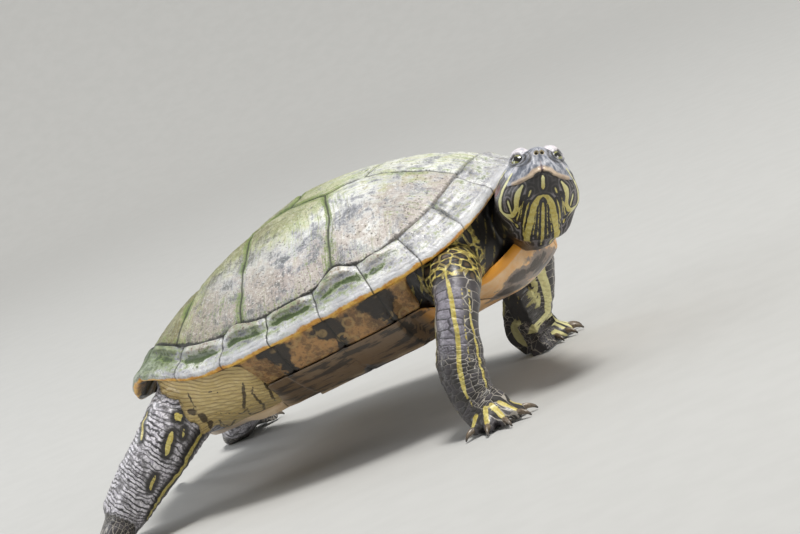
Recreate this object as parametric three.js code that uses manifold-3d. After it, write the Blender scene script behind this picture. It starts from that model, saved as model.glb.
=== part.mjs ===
// A red-eared slider turtle, an adult female at life size, that stands with its chest raised on its fore
// legs and its head turned to its right. Millimetres, +Z up, +X towards the head, the animal's left at +Y,
// with the origin on the floor under the middle of the box round the whole animal.
import * as THREE from "three";
import { ParametricGeometry } from "three/addons/geometries/ParametricGeometry.js";
import { mergeVertices } from "three/addons/utils/BufferGeometryUtils.js";
import Module from "manifold-3d";

const wasm = await Module();
wasm.setup();

// Driving dimensions. The shell has a frame of its own: its origin is the middle of the rim's plane.
const gap = 0.3; // between neighbours, so that no two pieces touch
const shell = {
  length: 216,
  width: 178,
  height: 48.8, // top of the dome over the rim's plane
  tilt: 6, // degrees, chest up
  lift: 69.1, // of the rim's middle over the floor
  roundness: 0.746, // exponent of the outline: 1 is an ellipse, less is squarer
  rearFlare: 0.073,
  apexX: 4.6,
  domeFlat: 1.84, // the dome is (1 - r^flat)^full from its rim, r = 1, to its top, r = 0
  frontFlat: 0.59, // added to it at the nape, and below taken from it at the tail
  rearFlat: 0.73,
  domeFull: 0.9,
  rearFull: 0.18,
  rimLevel: 0.2,
  frontRise: 15.4,
  frontBend: 6.9,
  rearDrop: 1.2,
  flare: 11, // rise of the rim over each hind leg
  flareAt: 138, // degrees from the nape
  flareSpread: 12,
  wall: 7, // thickness of the dome
  reach: 90, // from the middle to the rim, on average
  edge: 2.4, // thickness at the rim
  lipRise: 14, // how much the underside of the brim climbs inwards
};
const belly = {
  level: -37.2, // underside of the plastron on its middle line
  middleWide: 47, // half width between the bridges, where the two lobes begin
  thick: 5,
  front: 108.5,
  rear: -96,
  lobeStart: 84, // from here the front lobe turns up
  lobeRise: 10,
  curl: 2, // rise of its sides over the middle line, and of the sides of the two lobes
  frontCurl: 13,
  rearCurl: 5,
  bridgeFront: 58,
  bridgeRear: -14,
  frontBlunt: 0.42, // exponents of the lobes' outlines: 0.5 is an ellipse, less is blunter
  rearBlunt: 0.5,
  frontFrom: 40, // x where each lobe begins
  rearFrom: -20,
  bridgeFoot: 57, // half width where the bridge meets the plastron
  bridgeBulge: 3.5,
  bridgeThick: 11,
  bridgeSeam: 0.42, // share of the wall, from the rim down, that belongs to the marginal plates
};
const head = {
  tip: [135.2, -45.3, 102.3], // end of the snout
  forward: [0.492, -0.499, 0.714],
  up: [-0.097, 0.783, 0.614],
  eyeRadius: 4.1,
  eyeAt: [7.8, 8.7, 3], // back from the tip, aside, up
  browRadius: 4.8,
  browAt: [9.2, 7.6, 7.2],
};
const clawRadius = 1.25;
const squareness = 0.8; // exponent of the sections of trunk and head: 1 is an ellipse

const colours = {
  horn: new THREE.MeshStandardMaterial({ color: 0x9a9a8c, roughness: 0.45, metalness: 0 }),
  plate: new THREE.MeshStandardMaterial({ color: 0xb08a55, roughness: 0.5, metalness: 0 }),
  skin: new THREE.MeshStandardMaterial({ color: 0x3a3a30, roughness: 0.6, metalness: 0 }),
  eye: new THREE.MeshStandardMaterial({ color: 0x9a9a40, roughness: 0.1, metalness: 0 }),
  claw: new THREE.MeshStandardMaterial({ color: 0x2c2824, roughness: 0.35, metalness: 0 }),
};

// ---- solids ----

// A closed three.js geometry as a manifold solid that faces out.
function solidOf(geometry) {
  geometry.deleteAttribute("normal");
  geometry.deleteAttribute("uv");
  const merged = mergeVertices(geometry, 1e-4);
  const corners = merged.index.array;
  const kept = [];
  for (let i = 0; i < corners.length; i += 3) {
    const [a, b, c] = [corners[i], corners[i + 1], corners[i + 2]];
    if (a !== b && b !== c && c !== a) kept.push(a, b, c);
  }
  const vertProperties = merged.attributes.position.array;
  const build = (triVerts) =>
    new wasm.Manifold(new wasm.Mesh({ numProp: 3, vertProperties, triVerts: new Uint32Array(triVerts) }));
  const made = build(kept);
  return made.volume() < 0 ? build(kept.reverse()) : made;
}

// Rows of rings as one closed solid: pointAt(row, angle) gives a THREE.Vector3.
function solidOfRings(rows, sides, pointAt) {
  const place = (u, v, target) => target.copy(pointAt(Math.round(v * (rows - 1)), u * 2 * Math.PI));
  return solidOf(new ParametricGeometry(place, sides, rows - 1));
}

function join(solids) {
  return solids.reduce((whole, next) => whole.add(next));
}

function cut(solid, tools) {
  const left = tools.reduce((whole, tool) => whole.subtract(tool), solid);
  const bodies = left.decompose();
  return bodies.reduce((best, body) => (body.volume() > best.volume() ? body : best));
}

// A tube along a smooth path through stations [x, y, z, half width, half depth]. The half widths lie along
// `across`, and the ends are domes whose height is `round` of their half depth.
function tube(stations, { across, sides = 10, steps = 2, grow = 0, round = 0.8 }) {
  const path = new THREE.CatmullRomCurve3(stations.map((s) => new THREE.Vector3(s[0], s[1], s[2])));
  const sizes = new THREE.CatmullRomCurve3(stations.map((s) => new THREE.Vector3(s[3], s[4], 0)));
  const last = (stations.length - 1) * steps;
  const lay = new THREE.Vector3(...across);
  const capTurns = [0, 0.8]; // angles from the pole of an end's dome
  const rings = [];
  for (const turn of capTurns) rings.push({ share: 0, turn, end: -1 });
  for (let i = 0; i <= last; i++) rings.push({ share: i / last, turn: Math.PI / 2, end: 0 });
  for (const turn of [...capTurns].reverse()) rings.push({ share: 1, turn, end: 1 });
  return solidOfRings(rings.length, sides, (row, angle) => {
    const { share, turn, end } = rings[row];
    const along = path.getTangent(share);
    const wide = lay.clone().addScaledVector(along, -along.dot(lay)).normalize();
    const deep = along.clone().cross(wide);
    const size = sizes.getPoint(share);
    const shrink = Math.sin(turn);
    return path
      .getPoint(share)
      .addScaledVector(along, end * (size.y * round + grow) * Math.cos(turn))
      .addScaledVector(wide, (size.x + grow) * shrink * Math.cos(angle))
      .addScaledVector(deep, (size.y + grow) * shrink * Math.sin(angle));
  });
}

function box(width, depth, height, x, y, z) {
  return solidOf(new THREE.BoxGeometry(width, depth, height).translate(x, y, z));
}

// Parts a limb in two across `direction` at `point`, with the gap between them.
function partAt(solid, point, direction) {
  const reach = 400;
  const turn = new THREE.Quaternion().setFromUnitVectors(
    new THREE.Vector3(0, 0, 1),
    new THREE.Vector3(...direction).normalize(),
  );
  const block = (side) =>
    solidOf(
      new THREE.BoxGeometry(reach, reach, reach)
        .translate(0, 0, side * (reach / 2 - gap / 2))
        .applyQuaternion(turn)
        .translate(...point),
    );
  return [cut(solid, [block(1)]), cut(solid, [block(-1)])];
}

// ---- shell ----

const tiltTurn = new THREE.Matrix4()
  .makeTranslation(0, 0, shell.lift)
  .multiply(new THREE.Matrix4().makeRotationY(-THREE.MathUtils.degToRad(shell.tilt)));

function onFloor(x, y, z) {
  return new THREE.Vector3(x, y, z).applyMatrix4(tiltTurn);
}

// The rim at an angle: 0 at the nape, a quarter turn at her left, half a turn at the tail.
function rimAt(angle) {
  const cos = Math.cos(angle);
  const sin = Math.sin(angle);
  const ahead = Math.max(cos, 0);
  const behind = Math.max(-cos, 0);
  const fromNape = THREE.MathUtils.radToDeg(Math.acos(THREE.MathUtils.clamp(cos, -1, 1)));
  const flare = Math.exp(-(((fromNape - shell.flareAt) / shell.flareSpread) ** 2) / 2);
  return {
    ahead,
    behind,
    x: (shell.length / 2) * cos,
    y: (shell.width / 2) * Math.sign(sin) * Math.abs(sin) ** shell.roundness * (1 - shell.rearFlare * cos),
    z:
      shell.rimLevel +
      shell.frontRise * ahead ** shell.frontBend -
      shell.rearDrop * behind +
      shell.flare * flare,
  };
}

function domeHeight(rim, r) {
  const flat = shell.domeFlat + shell.frontFlat * rim.ahead ** 2 - shell.rearFlat * rim.behind ** 2;
  const full = shell.domeFull - shell.rearFull * rim.behind ** 2;
  return rim.z + (shell.height - rim.z) * (1 - r ** flat) ** full;
}

// The dome's top for r from 0 to 1, and its underside, which is a brim near the rim and the wall within.
function carapacePoint(angle, r, under, grow) {
  const rim = rimAt(angle);
  const top = domeHeight(rim, r);
  const brim = rim.z - shell.edge + shell.lipRise * (1 - r);
  const z = under ? Math.max(brim, top - shell.wall) - 1.5 * grow : top + grow;
  const out = under && r < 1 ? r : r * (1 + grow / shell.reach);
  return onFloor(shell.apexX + (rim.x - shell.apexX) * out, rim.y * out, z);
}

function carapace(grow = 0) {
  const top = [0, 0.2, 0.38, 0.54, 0.68, 0.8, 0.9, 0.97, 1];
  const under = [1, 0.95, 0.89, 0.75, 0.5, 0];
  const rings = [...top.map((r) => [r, false]), ...under.map((r) => [r, true])];
  return solidOfRings(rings.length, 44, (row, angle) => carapacePoint(angle, ...rings[row], grow));
}

function smooth(from, to, x) {
  return THREE.MathUtils.smoothstep(x, from, to);
}

// Half width of the plastron at x: a blunt front lobe, the middle between the bridges, a rear lobe.
function plastronHalf(x) {
  const { frontFrom, rearFrom, bridgeRear, bridgeFront } = belly;
  const ahead = THREE.MathUtils.clamp((x - frontFrom) / (belly.front - frontFrom), 0, 1);
  const behind = THREE.MathUtils.clamp((x - rearFrom) / (belly.rear - rearFrom), 0, 1);
  const lobe = belly.middleWide * (1 - ahead ** 2) ** belly.frontBlunt * (1 - behind ** 2) ** belly.rearBlunt;
  const bridge = smooth(bridgeRear - 8, bridgeRear + 8, x) * (1 - smooth(bridgeFront - 8, bridgeFront + 8, x));
  return Math.max(lobe, belly.bridgeFoot * bridge);
}

// Underside of the plastron: level in the middle, with the front lobe's tip and both lobes' sides raised.
function plastronLevel(x, y) {
  const ahead = Math.max((x - belly.lobeStart) / (belly.front - belly.lobeStart), 0);
  const side = Math.min(Math.abs(y) / Math.max(plastronHalf(x), 1), 1);
  const frontShare = smooth(58, 78, x);
  const rearShare = 1 - smooth(-60, -44, x);
  const curl = belly.curl + (belly.frontCurl - belly.curl) * frontShare + (belly.rearCurl - belly.curl) * rearShare;
  return belly.level + belly.lobeRise * ahead ** 1.6 + curl * side ** 2.4;
}

function plastron(grow = 0, raised = 0) {
  const half = (belly.front - belly.rear) / 2;
  const middle = (belly.front + belly.rear) / 2;
  const rings = [[0, 0], [0.45, 0], [0.75, 0], [0.95, 0], [1, 0.4], [0.97, 1], [0.7, 1], [0, 1]];
  return solidOfRings(rings.length, 44, (row, angle) => {
    const [spread, level] = rings[row];
    const x = middle + half * Math.cos(angle);
    const wide = plastronHalf(middle + half * Math.cos(angle) * 0.999) * Math.sign(Math.sin(angle));
    const side = Math.abs(Math.sin(angle)) < 1e-6 ? 0 : wide;
    const z = plastronLevel(middle + (x - middle) * spread, side * spread) + belly.thick * level;
    const aheadReach = spread * (1 + grow / half);
    const sideReach = spread * (1 + grow / belly.middleWide);
    return onFloor(middle + (x - middle) * aheadReach, side * sideReach, z + raised + 1.5 * grow * (2 * level - 1));
  });
}

// The wall under the rim from the marginal plates down to the plastron, on one side, between two shares
// of its height.
function bridgeWall(side, from, to, grow = 0) {
  const columns = 8;
  const front = belly.bridgeFront + 10;
  const rear = belly.bridgeRear - 12;
  const corners = [
    [from, 0],
    [(from + to) / 2, 0],
    [to, 0],
    [to, 1],
    [from, 1],
  ];
  const section = (x, share, inner) => {
    const angle = Math.acos(x / (shell.length / 2));
    const rim = rimAt(angle);
    const high = { y: rim.y - 2.2, z: rim.z - shell.edge - 0.4 };
    const low = { y: plastronHalf(x) + 1.2, z: belly.level + belly.curl + 0.6 };
    const bulge = belly.bridgeBulge * Math.sin(Math.PI * share);
    const y = high.y + (low.y - high.y) * share + bulge - inner * belly.bridgeThick + (inner ? -grow : grow);
    const z = high.z + (low.z - high.z) * share - bulge * 0.6 + inner * 4;
    return onFloor(x, side * y, z);
  };
  const ringAt = (row) => THREE.MathUtils.clamp(row - 1, 0, columns);
  const place = (row, k) => {
    const end = ringAt(row) === 0 ? -grow : ringAt(row) === columns ? grow : 0;
    const x = rear + ((front - rear) * ringAt(row)) / columns + end;
    const stretch = from === to ? 0 : grow / 40;
    const share = corners[k][0] + (corners[k][0] > (from + to) / 2 ? stretch : -stretch);
    return section(x, share, corners[k][1]);
  };
  return solidOfRings(columns + 3, corners.length, (row, angle) => {
    const k = Math.round((angle / (2 * Math.PI)) * corners.length) % corners.length;
    if (row > 0 && row < columns + 2) return place(row, k);
    const middle = new THREE.Vector3();
    corners.forEach((_, j) => middle.add(place(row, j)));
    return middle.divideScalar(corners.length);
  });
}

// ---- trunk, neck, tail ----

// Rings across x: [x, half width, middle height, half height], squarer than an ellipse.
const trunkRings = [
  [-97, 3, -12, 3],
  [-93, 30, -11, 15],
  [-84, 54, -9, 24],
  [-66, 74, -5, 30],
  [-40, 80, -2, 33],
  [0, 80, 2, 37],
  [40, 76, 1, 36],
  [62, 68, -3, 31],
  [78, 56, -3, 27],
  [90, 40, -2, 24],
  [98, 22, -1, 17],
  [101, 4, -1, 4],
];

function trunk(grow = 0) {
  const rows = trunkRings.length + 2;
  return solidOfRings(rows, 14, (row, angle) => {
    const k = THREE.MathUtils.clamp(row - 1, 0, trunkRings.length - 1);
    const [x, wide, middle, tall] = trunkRings[k];
    const pole = row === 0 || row === rows - 1;
    const share = pole ? 0 : 1;
    const cos = Math.cos(angle);
    const sin = Math.sin(angle);
    const y = (wide + grow) * Math.sign(cos) * Math.abs(cos) ** squareness * share;
    const z = middle + (tall + grow) * Math.sign(sin) * Math.abs(sin) ** squareness * share;
    return onFloor(x + (k === 0 ? -grow : 0) + (k === trunkRings.length - 1 ? grow : 0), y, z);
  });
}

const neckStations = [
  [78, -2, 71, 21, 19],
  [94, -4, 74, 20.5, 18],
  [106, -10, 76, 20, 17.5],
  [114, -20, 77.5, 19, 16.5],
];
const tailStations = [
  [-84, 0, 48, 14, 12],
  [-97, 1, 44, 11, 9.5],
  [-110, 4, 35, 7.5, 7],
  [-119, 9, 24, 5, 5],
  [-126, 16, 14, 3.2, 3.2],
  [-132, 24, 6, 1.8, 1.8],
];

// ---- head ----

// Rings from the snout back: [back, half width, top, bottom], in the head's own frame.
const headRings = [
  [0, 2.5, 2.2, -2.2],
  [0.8, 5.2, 4, -7],
  [3, 8.2, 5.8, -10.4],
  [6.5, 10.9, 8.2, -12],
  [10.5, 13.6, 10.6, -13],
  [15, 15.6, 11.8, -13.8],
  [20, 17.5, 12.2, -14.8],
  [27, 19.2, 12.2, -16],
  [34, 18.6, 11.6, -17],
  [40, 16.8, 10.6, -17],
  [44, 11.6, 8, -12],
];

const headTurn = (() => {
  const ahead = new THREE.Vector3(...head.forward).normalize();
  const left = new THREE.Vector3(...head.up).cross(ahead).normalize();
  const up = ahead.clone().cross(left);
  return new THREE.Matrix4().makeBasis(ahead, left, up).setPosition(...head.tip);
})();

function inHead(back, aside, up) {
  return new THREE.Vector3(-back, aside, up).applyMatrix4(headTurn);
}

function headSolid(grow = 0) {
  const rows = headRings.length + 2;
  return solidOfRings(rows, 20, (row, angle) => {
    const k = THREE.MathUtils.clamp(row - 1, 0, headRings.length - 1);
    const [back, wide, top, bottom] = headRings[k];
    const share = row === 0 || row === rows - 1 ? 0 : 1;
    const end = (row === 0 ? -1.2 : row === rows - 1 ? 2 : 0) + (k === 0 ? -grow : 0);
    const cos = Math.cos(angle);
    const sin = Math.sin(angle);
    const middle = top * 0.35 + bottom * 0.65 + 4;
    const tall = sin > 0 ? top - middle : middle - bottom;
    const y = (wide + grow) * Math.sign(cos) * Math.abs(cos) ** squareness;
    const z = middle + (tall + grow) * Math.sign(sin) * Math.abs(sin) ** squareness * share;
    return inHead(back + end + (k === headRings.length - 1 ? grow : 0), y * share, z);
  });
}

// A ball in the head: an eye, or the brow over it.
function ballInHead([back, aside, up], radius, side) {
  const ball = new THREE.SphereGeometry(radius, 12, 8);
  return solidOf(ball.translate(...inHead(back, side * aside, up).toArray()));
}

function skullSolid(grow = 0) {
  const brows = [1, -1].map((side) => ballInHead(head.browAt, head.browRadius + grow, side));
  return join([headSolid(grow), ...brows]);
}

// The lower jaw's block, from the mouth's line down and back to the throat.
function jawBlock(grow) {
  const outline = [
    [4, -9],
    [-1.8, -9],
    [-3.6, -10.2],
    [-6, -10.2],
    [-9.5, -8.6],
    [-12.5, -6.3],
    [-15.5, -5.4],
    [-20, -10],
    [-22, -30],
    [4, -30],
  ];
  const shape = new THREE.Shape(outline.map(([x, z]) => new THREE.Vector2(x + (x < -18 ? -grow : 0), z + grow)));
  const block = new THREE.ExtrudeGeometry(shape, { depth: 60, bevelEnabled: false });
  block.translate(0, 0, -30).rotateX(Math.PI / 2);
  return solidOf(block.applyMatrix4(headTurn));
}

// ---- legs ----

// Each leg: stations from inside the trunk to the wrist or ankle, the station at which it bends, the
// middle of its foot, and the tips of its toes and the ground direction that each points in.
const legs = {
  fore_right: {
    across: [0.87, 0.31, 0],
    stations: [
      [64, -32, 66, 15, 14],
      [75, -48, 68, 16, 14],
      [82.5, -63, 65, 13.5, 12.5],
      [83.5, -73, 56.5, 10.8, 10.5],
      [81.5, -79, 47, 10.2, 10],
      [79.5, -82, 37, 11, 10],
      [77.5, -85, 27, 12, 10],
      [78, -87, 18, 11, 9],
    ],
    bend: 4,
    foot: [[79.5, -87.5, 12, 10, 7.5], [83.5, -88.5, 6.5, 11, 6]],
    toes: [[77.5, -98.5], [85, -100.5], [92, -98], [96.5, -91.5], [96.5, -84]],
    toeRadius: 3,
    clawLength: 6.5,
  },
  fore_left: {
    across: [0.87, 0.31, 0],
    stations: [
      [62, 32, 66, 15, 14],
      [71, 47, 64, 15, 14],
      [75, 58, 54, 13, 12],
      [72.5, 64, 42, 12, 11],
      [68, 66, 31, 11.8, 10.4],
      [62.5, 67, 21, 11.2, 9.6],
      [59, 68, 14, 10, 8.6],
    ],
    bend: 3,
    foot: [[58.5, 68, 11, 9.5, 7.5], [62.5, 69, 6.5, 10.5, 6]],
    toes: [[72, 59.5], [75.5, 65], [76, 71.5], [73.5, 77.5], [68, 82]],
    toeRadius: 3,
    clawLength: 6.5,
  },
  hind_right: {
    across: [0.8, -0.1, 0.6],
    stations: [
      [-60, -37, 57, 20, 18],
      [-66, -53, 52, 21, 17],
      [-74, -67, 44, 20, 15.5],
      [-85, -76, 34, 19, 14],
      [-97, -82, 24.5, 18.3, 12.5],
      [-106.5, -86, 16, 16.5, 11],
    ],
    bend: 3,
    foot: [[-109, -87, 12.5, 14.5, 9], [-114, -95, 7, 15, 6.4]],
    toes: [[-101, -112], [-109, -116], [-118, -117], [-127, -113]],
    toeRadius: 3.3,
    clawLength: 6.5,
  },
  hind_left: {
    across: [0.8, 0.1, 0.6],
    stations: [
      [-58, 37, 57, 20, 18],
      [-67, 53, 52, 20, 17],
      [-80, 66, 43, 19, 15],
      [-94, 75, 33, 18, 13.5],
      [-107, 81, 24, 17.3, 12],
      [-116, 85, 16, 15.5, 10.5],
    ],
    bend: 3,
    foot: [[-118, 86, 12.5, 14, 9], [-123, 93, 7, 14.5, 6.4]],
    toes: [[-113, 111], [-121, 114], [-130, 113], [-138, 108]],
    toeRadius: 3.3,
    clawLength: 6.5,
  },
};

// A toe from the middle of the foot to its tip on the floor.
function toe(leg, tip, grow = 0) {
  const [x, y, z] = leg.foot[1];
  const [tipX, tipY] = tip;
  const stations = [
    [x, y, z, leg.toeRadius, leg.toeRadius],
    [(x + tipX) / 2, (y + tipY) / 2, 6, leg.toeRadius, leg.toeRadius],
    [tipX, tipY, leg.toeRadius - 0.6, leg.toeRadius * 0.8, leg.toeRadius * 0.8],
  ];
  return tube(stations, { across: [tipY - y, x - tipX, 0], sides: 7, steps: 1, grow });
}

// A claw that leaves its toe forwards and curves down to a point.
function claw(leg, tip) {
  const [x, y] = leg.foot[1];
  const way = new THREE.Vector2(tip[0] - x, tip[1] - y).normalize();
  const stations = [-2, leg.clawLength * 0.45, leg.clawLength].map((out, k) => [
    tip[0] + way.x * out,
    tip[1] + way.y * out,
    [3, 3.2, 0.75][k],
    clawRadius * [1.15, 0.9, 0.36][k],
    clawRadius * [1.3, 1, 0.36][k],
  ]);
  return tube(stations, { across: [way.y, -way.x, 0], sides: 5, steps: 1 });
}

// ---- assembly ----

const turtle = new THREE.Group();

function addNode(name, solid, material) {
  const mesh = solid.getMesh();
  const geometry = new THREE.BufferGeometry();
  geometry.setAttribute("position", new THREE.BufferAttribute(mesh.vertProperties, 3));
  geometry.setIndex(new THREE.BufferAttribute(mesh.triVerts, 1));
  const node = new THREE.Mesh(geometry, material);
  node.name = name;
  turtle.add(node);
}

const wallOverlap = -0.05; // share of the wall's height that reaches up into the rim
const underFloor = box(600, 600, 100, 0, 0, -50);
const walls = [1, -1].map((side) => ({
  marginal: bridgeWall(side, wallOverlap, belly.bridgeSeam),
  plate: bridgeWall(side, belly.bridgeSeam, 1),
  cutter: join([
    bridgeWall(side, wallOverlap, belly.bridgeSeam, gap * 1.4),
    bridgeWall(side, belly.bridgeSeam, 1, gap * 1.4),
  ]),
}));
const topShell = join([carapace(), ...walls.map((wall) => wall.marginal)]);
const topCutter = join([carapace(gap), ...walls.map((wall) => wall.cutter)]);
const bottomCutter = join([plastron(gap), plastron(0, 2 * gap)]);
addNode("carapace", topShell, colours.horn);
addNode("plastron", plastron(), colours.plate);
const marginalCutters = [carapace(gap), bottomCutter];
walls.forEach((wall, k) => {
  const side = k === 0 ? 1 : -1;
  const above = bridgeWall(side, wallOverlap, belly.bridgeSeam, gap);
  addNode(side > 0 ? "bridge_left" : "bridge_right", cut(wall.plate, [above, ...marginalCutters]), colours.plate);
});
addNode("trunk", cut(trunk(), [topCutter, bottomCutter]), colours.skin);

const trunkCutter = trunk(gap);
const shellCutters = [topCutter, bottomCutter];
const wideWay = [0, 1, 0];
const eyes = [1, -1].map((side) => ballInHead(head.eyeAt, head.eyeRadius, side));
const eyeCutters = [1, -1].map((side) => ballInHead(head.eyeAt, head.eyeRadius + gap, side));
const skull = cut(skullSolid(), eyeCutters);
const jaw = cut(skull.intersect(jawBlock(-gap / 2)), []);
const crown = cut(skull, [jawBlock(gap / 2)]);
addNode("head", cut(crown, shellCutters), colours.skin);
addNode("lower_jaw", jaw, colours.skin);
addNode("eye_left", eyes[0], colours.eye);
addNode("eye_right", eyes[1], colours.eye);
const headCutter = skullSolid(gap);
const neckTools = [headCutter, trunkCutter, ...shellCutters];
addNode("neck", cut(tube(neckStations, { across: wideWay, sides: 14 }), neckTools), colours.skin);
const tailTools = [trunkCutter, ...shellCutters];
addNode("tail", cut(tube(tailStations, { across: wideWay, sides: 10, steps: 1 }), tailTools), colours.skin);

for (const [name, leg] of Object.entries(legs)) {
  const bend = leg.stations[leg.bend];
  const next = leg.stations[leg.bend + 1];
  const whole = tube(leg.stations, { across: leg.across });
  const direction = [next[0] - bend[0], next[1] - bend[1], next[2] - bend[2]];
  const [upper, lower] = partAt(whole, bend.slice(0, 3), direction);
  const limbGrown = tube(leg.stations, { across: leg.across, grow: gap });
  addNode(name + "_upper", cut(upper, [trunkCutter, ...shellCutters]), colours.skin);
  addNode(name + "_lower", cut(lower, [trunkCutter, ...shellCutters]), colours.skin);
  const palm = tube(leg.foot, { across: leg.across, sides: 10, round: 1.4 });
  const palmGrown = tube(leg.foot, { across: leg.across, sides: 10, round: 1.4, grow: gap });
  const foot = join([palm, ...leg.toes.map((tip) => toe(leg, tip))]);
  addNode(name + "_foot", cut(foot, [limbGrown, underFloor]), colours.skin);
  const footCutters = [palmGrown, ...leg.toes.map((tip) => toe(leg, tip, gap))];
  leg.toes.forEach((tip, k) => {
    addNode(name + "_claw_" + (k + 1), cut(claw(leg, tip), [...footCutters, underFloor]), colours.claw);
  });
}

// The origin is on the floor, under the middle of the box round everything.
const bounds = new THREE.Box3().setFromObject(turtle);
const centre = bounds.getCenter(new THREE.Vector3());
turtle.children.forEach((node) => node.geometry.translate(-centre.x, -centre.y, -bounds.min.z));

export default turtle;
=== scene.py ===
import math

import bmesh
import bpy
import numpy as np
from mathutils import Matrix, Vector


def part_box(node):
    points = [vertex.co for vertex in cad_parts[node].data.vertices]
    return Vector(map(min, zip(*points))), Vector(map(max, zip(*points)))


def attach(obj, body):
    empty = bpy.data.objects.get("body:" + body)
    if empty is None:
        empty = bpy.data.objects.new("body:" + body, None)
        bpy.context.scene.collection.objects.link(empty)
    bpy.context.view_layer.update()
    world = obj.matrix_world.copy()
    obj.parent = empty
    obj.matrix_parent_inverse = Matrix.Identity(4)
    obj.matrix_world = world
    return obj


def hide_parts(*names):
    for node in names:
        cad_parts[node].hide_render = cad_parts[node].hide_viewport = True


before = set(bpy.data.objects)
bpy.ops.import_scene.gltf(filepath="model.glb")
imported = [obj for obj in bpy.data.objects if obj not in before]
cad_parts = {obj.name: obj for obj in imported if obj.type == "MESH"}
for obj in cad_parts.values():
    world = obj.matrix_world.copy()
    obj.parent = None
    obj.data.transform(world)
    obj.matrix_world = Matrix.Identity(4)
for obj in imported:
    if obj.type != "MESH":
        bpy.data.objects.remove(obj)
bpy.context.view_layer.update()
print("frame loaded:", len(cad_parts), "nodes")

# Lengths here are millimetres over the floor, with the CAD's own axes, until a mesh is written in metres.
metres = 0.001


def ease(low, high, x):
    # 0 at low, 1 at high, 3t^2 - 2t^3 between; it falls when low is the larger.
    t = np.clip((x - low) / (high - low), 0, 1)
    return t * t * (3 - 2 * t)


def fromWhole(x):
    # Distance to the nearest whole number.
    return np.abs(x - np.round(x))


def bell(x, middle, spread):
    # 1 at the middle, falling as exp of minus the squared share of the spread.
    return np.exp(-(((x - middle) / spread) ** 2))


def lengths(v):
    # The root of the sum of squares of each vector.
    return np.linalg.norm(v, axis=-1)


def unit(v):
    # Each vector over its own length.
    return v / np.maximum(lengths(v), 1e-9)[..., None]


def runAlong(points):
    # How far along a line of straight pieces each of its points is.
    return np.concatenate([[0], np.cumsum(lengths(np.diff(points, axis=0)))])


def turns(count):
    # Equal steps round a full turn.
    return np.linspace(0, 2 * np.pi, count, endpoint=False)


def together(*parts):
    # Arrays or numbers side by side along a new last axis.
    return np.stack(np.broadcast_arrays(*parts), -1)


def rowsAt(at, run, rows):
    # The rows read at places along their run, straight from one row to the next.
    return together(*(np.interp(at, run, column) for column in rows.T))


def latticeValue(cell, seed):
    # A fixed scrambled number from 0 to 1 for each whole-numbered corner.
    n = cell[..., 0] * 73856093 ^ cell[..., 1] * 19349663 ^ cell[..., 2] * 83492791 ^ (seed * 40503 + 977)
    n = (n ^ (n >> 13)) * 1274126177 & 0x7FFFFFFF
    n = (n ^ (n >> 16)) * 668265263 & 0x7FFFFFFF
    return ((n ^ (n >> 15)) & 0xFFFF) / 65535


def soft(points, size, seed):
    # Corner values mixed with a smooth step along each axis, from -1 to 1.
    place = np.asarray(points) / size
    cell = np.floor(place).astype(np.int64)
    f = place - cell
    f *= f * (3 - 2 * f)
    total = 0
    for corner in range(8):
        step = np.array([corner & 1, corner >> 1 & 1, corner >> 2 & 1])
        share = np.prod(np.where(step == 1, f, 1 - f), axis=-1)
        total += share * latticeValue(cell + step, seed)
    return total * 2 - 1


def layered(points, size, layers, seed):
    # Each layer is half the size and half the strength of the last.
    return sum(soft(points, size / 2 ** k, seed + k) / 2 ** k for k in range(layers)) / 1.6


def lineDistance(points, line):
    # Distance to a line of straight pieces, and how far along it the nearest place is.
    line = np.asarray(line, float)
    best = np.full(points.shape[:-1], 1e9)
    along = np.zeros(points.shape[:-1])
    done = 0
    for a, b in zip(line[:-1], line[1:]):
        way = b - a
        length = max(lengths(way), 1e-6)
        t = np.clip((points - a) @ way / length ** 2, 0, 1)
        d = lengths(points - a - t[..., None] * way)
        along = np.where(d < best, done + t * length, along)
        best = np.minimum(d, best)
        done += length
    return best, along


def smoothPath(stations, steps):
    # Centripetal Catmull-Rom: each stretch is a cubic whose end slopes come from its neighbours.
    p = np.asarray(stations, float)
    p = np.vstack([2 * p[0] - p[1], p, 2 * p[-1] - p[-2]])
    rows = []
    for k in range(1, len(p) - 2):
        a, b, c, d = p[k - 1:k + 3]
        ta, tb, tc = np.maximum(lengths(np.array([b - a, c - b, d - c])[:, :3]), 1e-6) ** 0.5
        slopeB = ((b - a) / ta - (c - a) / (ta + tb) + (c - b) / tb) * tb
        slopeC = ((c - b) / tb - (d - b) / (tb + tc) + (d - c) / tc) * tb
        t = np.arange(steps)[:, None] / steps
        cubic = b + slopeB * t + (3 * (c - b) - 2 * slopeB - slopeC) * t ** 2
        rows.append(cubic + (2 * (b - c) + slopeB + slopeC) * t ** 3)
    rows.append(p[-2][None])
    return np.vstack(rows)


def gridFaces(rows, columns, around=False):
    # One quad for each cell of a grid, closed round its columns where that is asked for.
    i, j = np.meshgrid(np.arange(rows - 1), np.arange(columns if around else columns - 1), indexing="ij")
    k = (j + 1) % columns
    quads = together(i * columns + j, i * columns + k, (i + 1) * columns + k, (i + 1) * columns + j)
    return quads.reshape(-1, 4)


def fanFaces(loop, tip):
    # Triangles from a closed loop of vertices to one tip.
    loop = np.asarray(loop)
    return together(loop, np.roll(loop, -1), np.full(len(loop), tip))


def closedTube(rings):
    # Rings of points from end to end, each closed, with the middle of each end ring as its pole.
    rows, columns, _ = rings.shape
    points = np.vstack([rings.reshape(-1, 3), rings[0].mean(0), rings[-1].mean(0)])
    last = rows * columns
    first = fanFaces(np.arange(columns)[::-1], last)
    second = fanFaces(np.arange(columns) + last - columns, last + 1)
    return points, [gridFaces(rows, columns, around=True), first, second]


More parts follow.
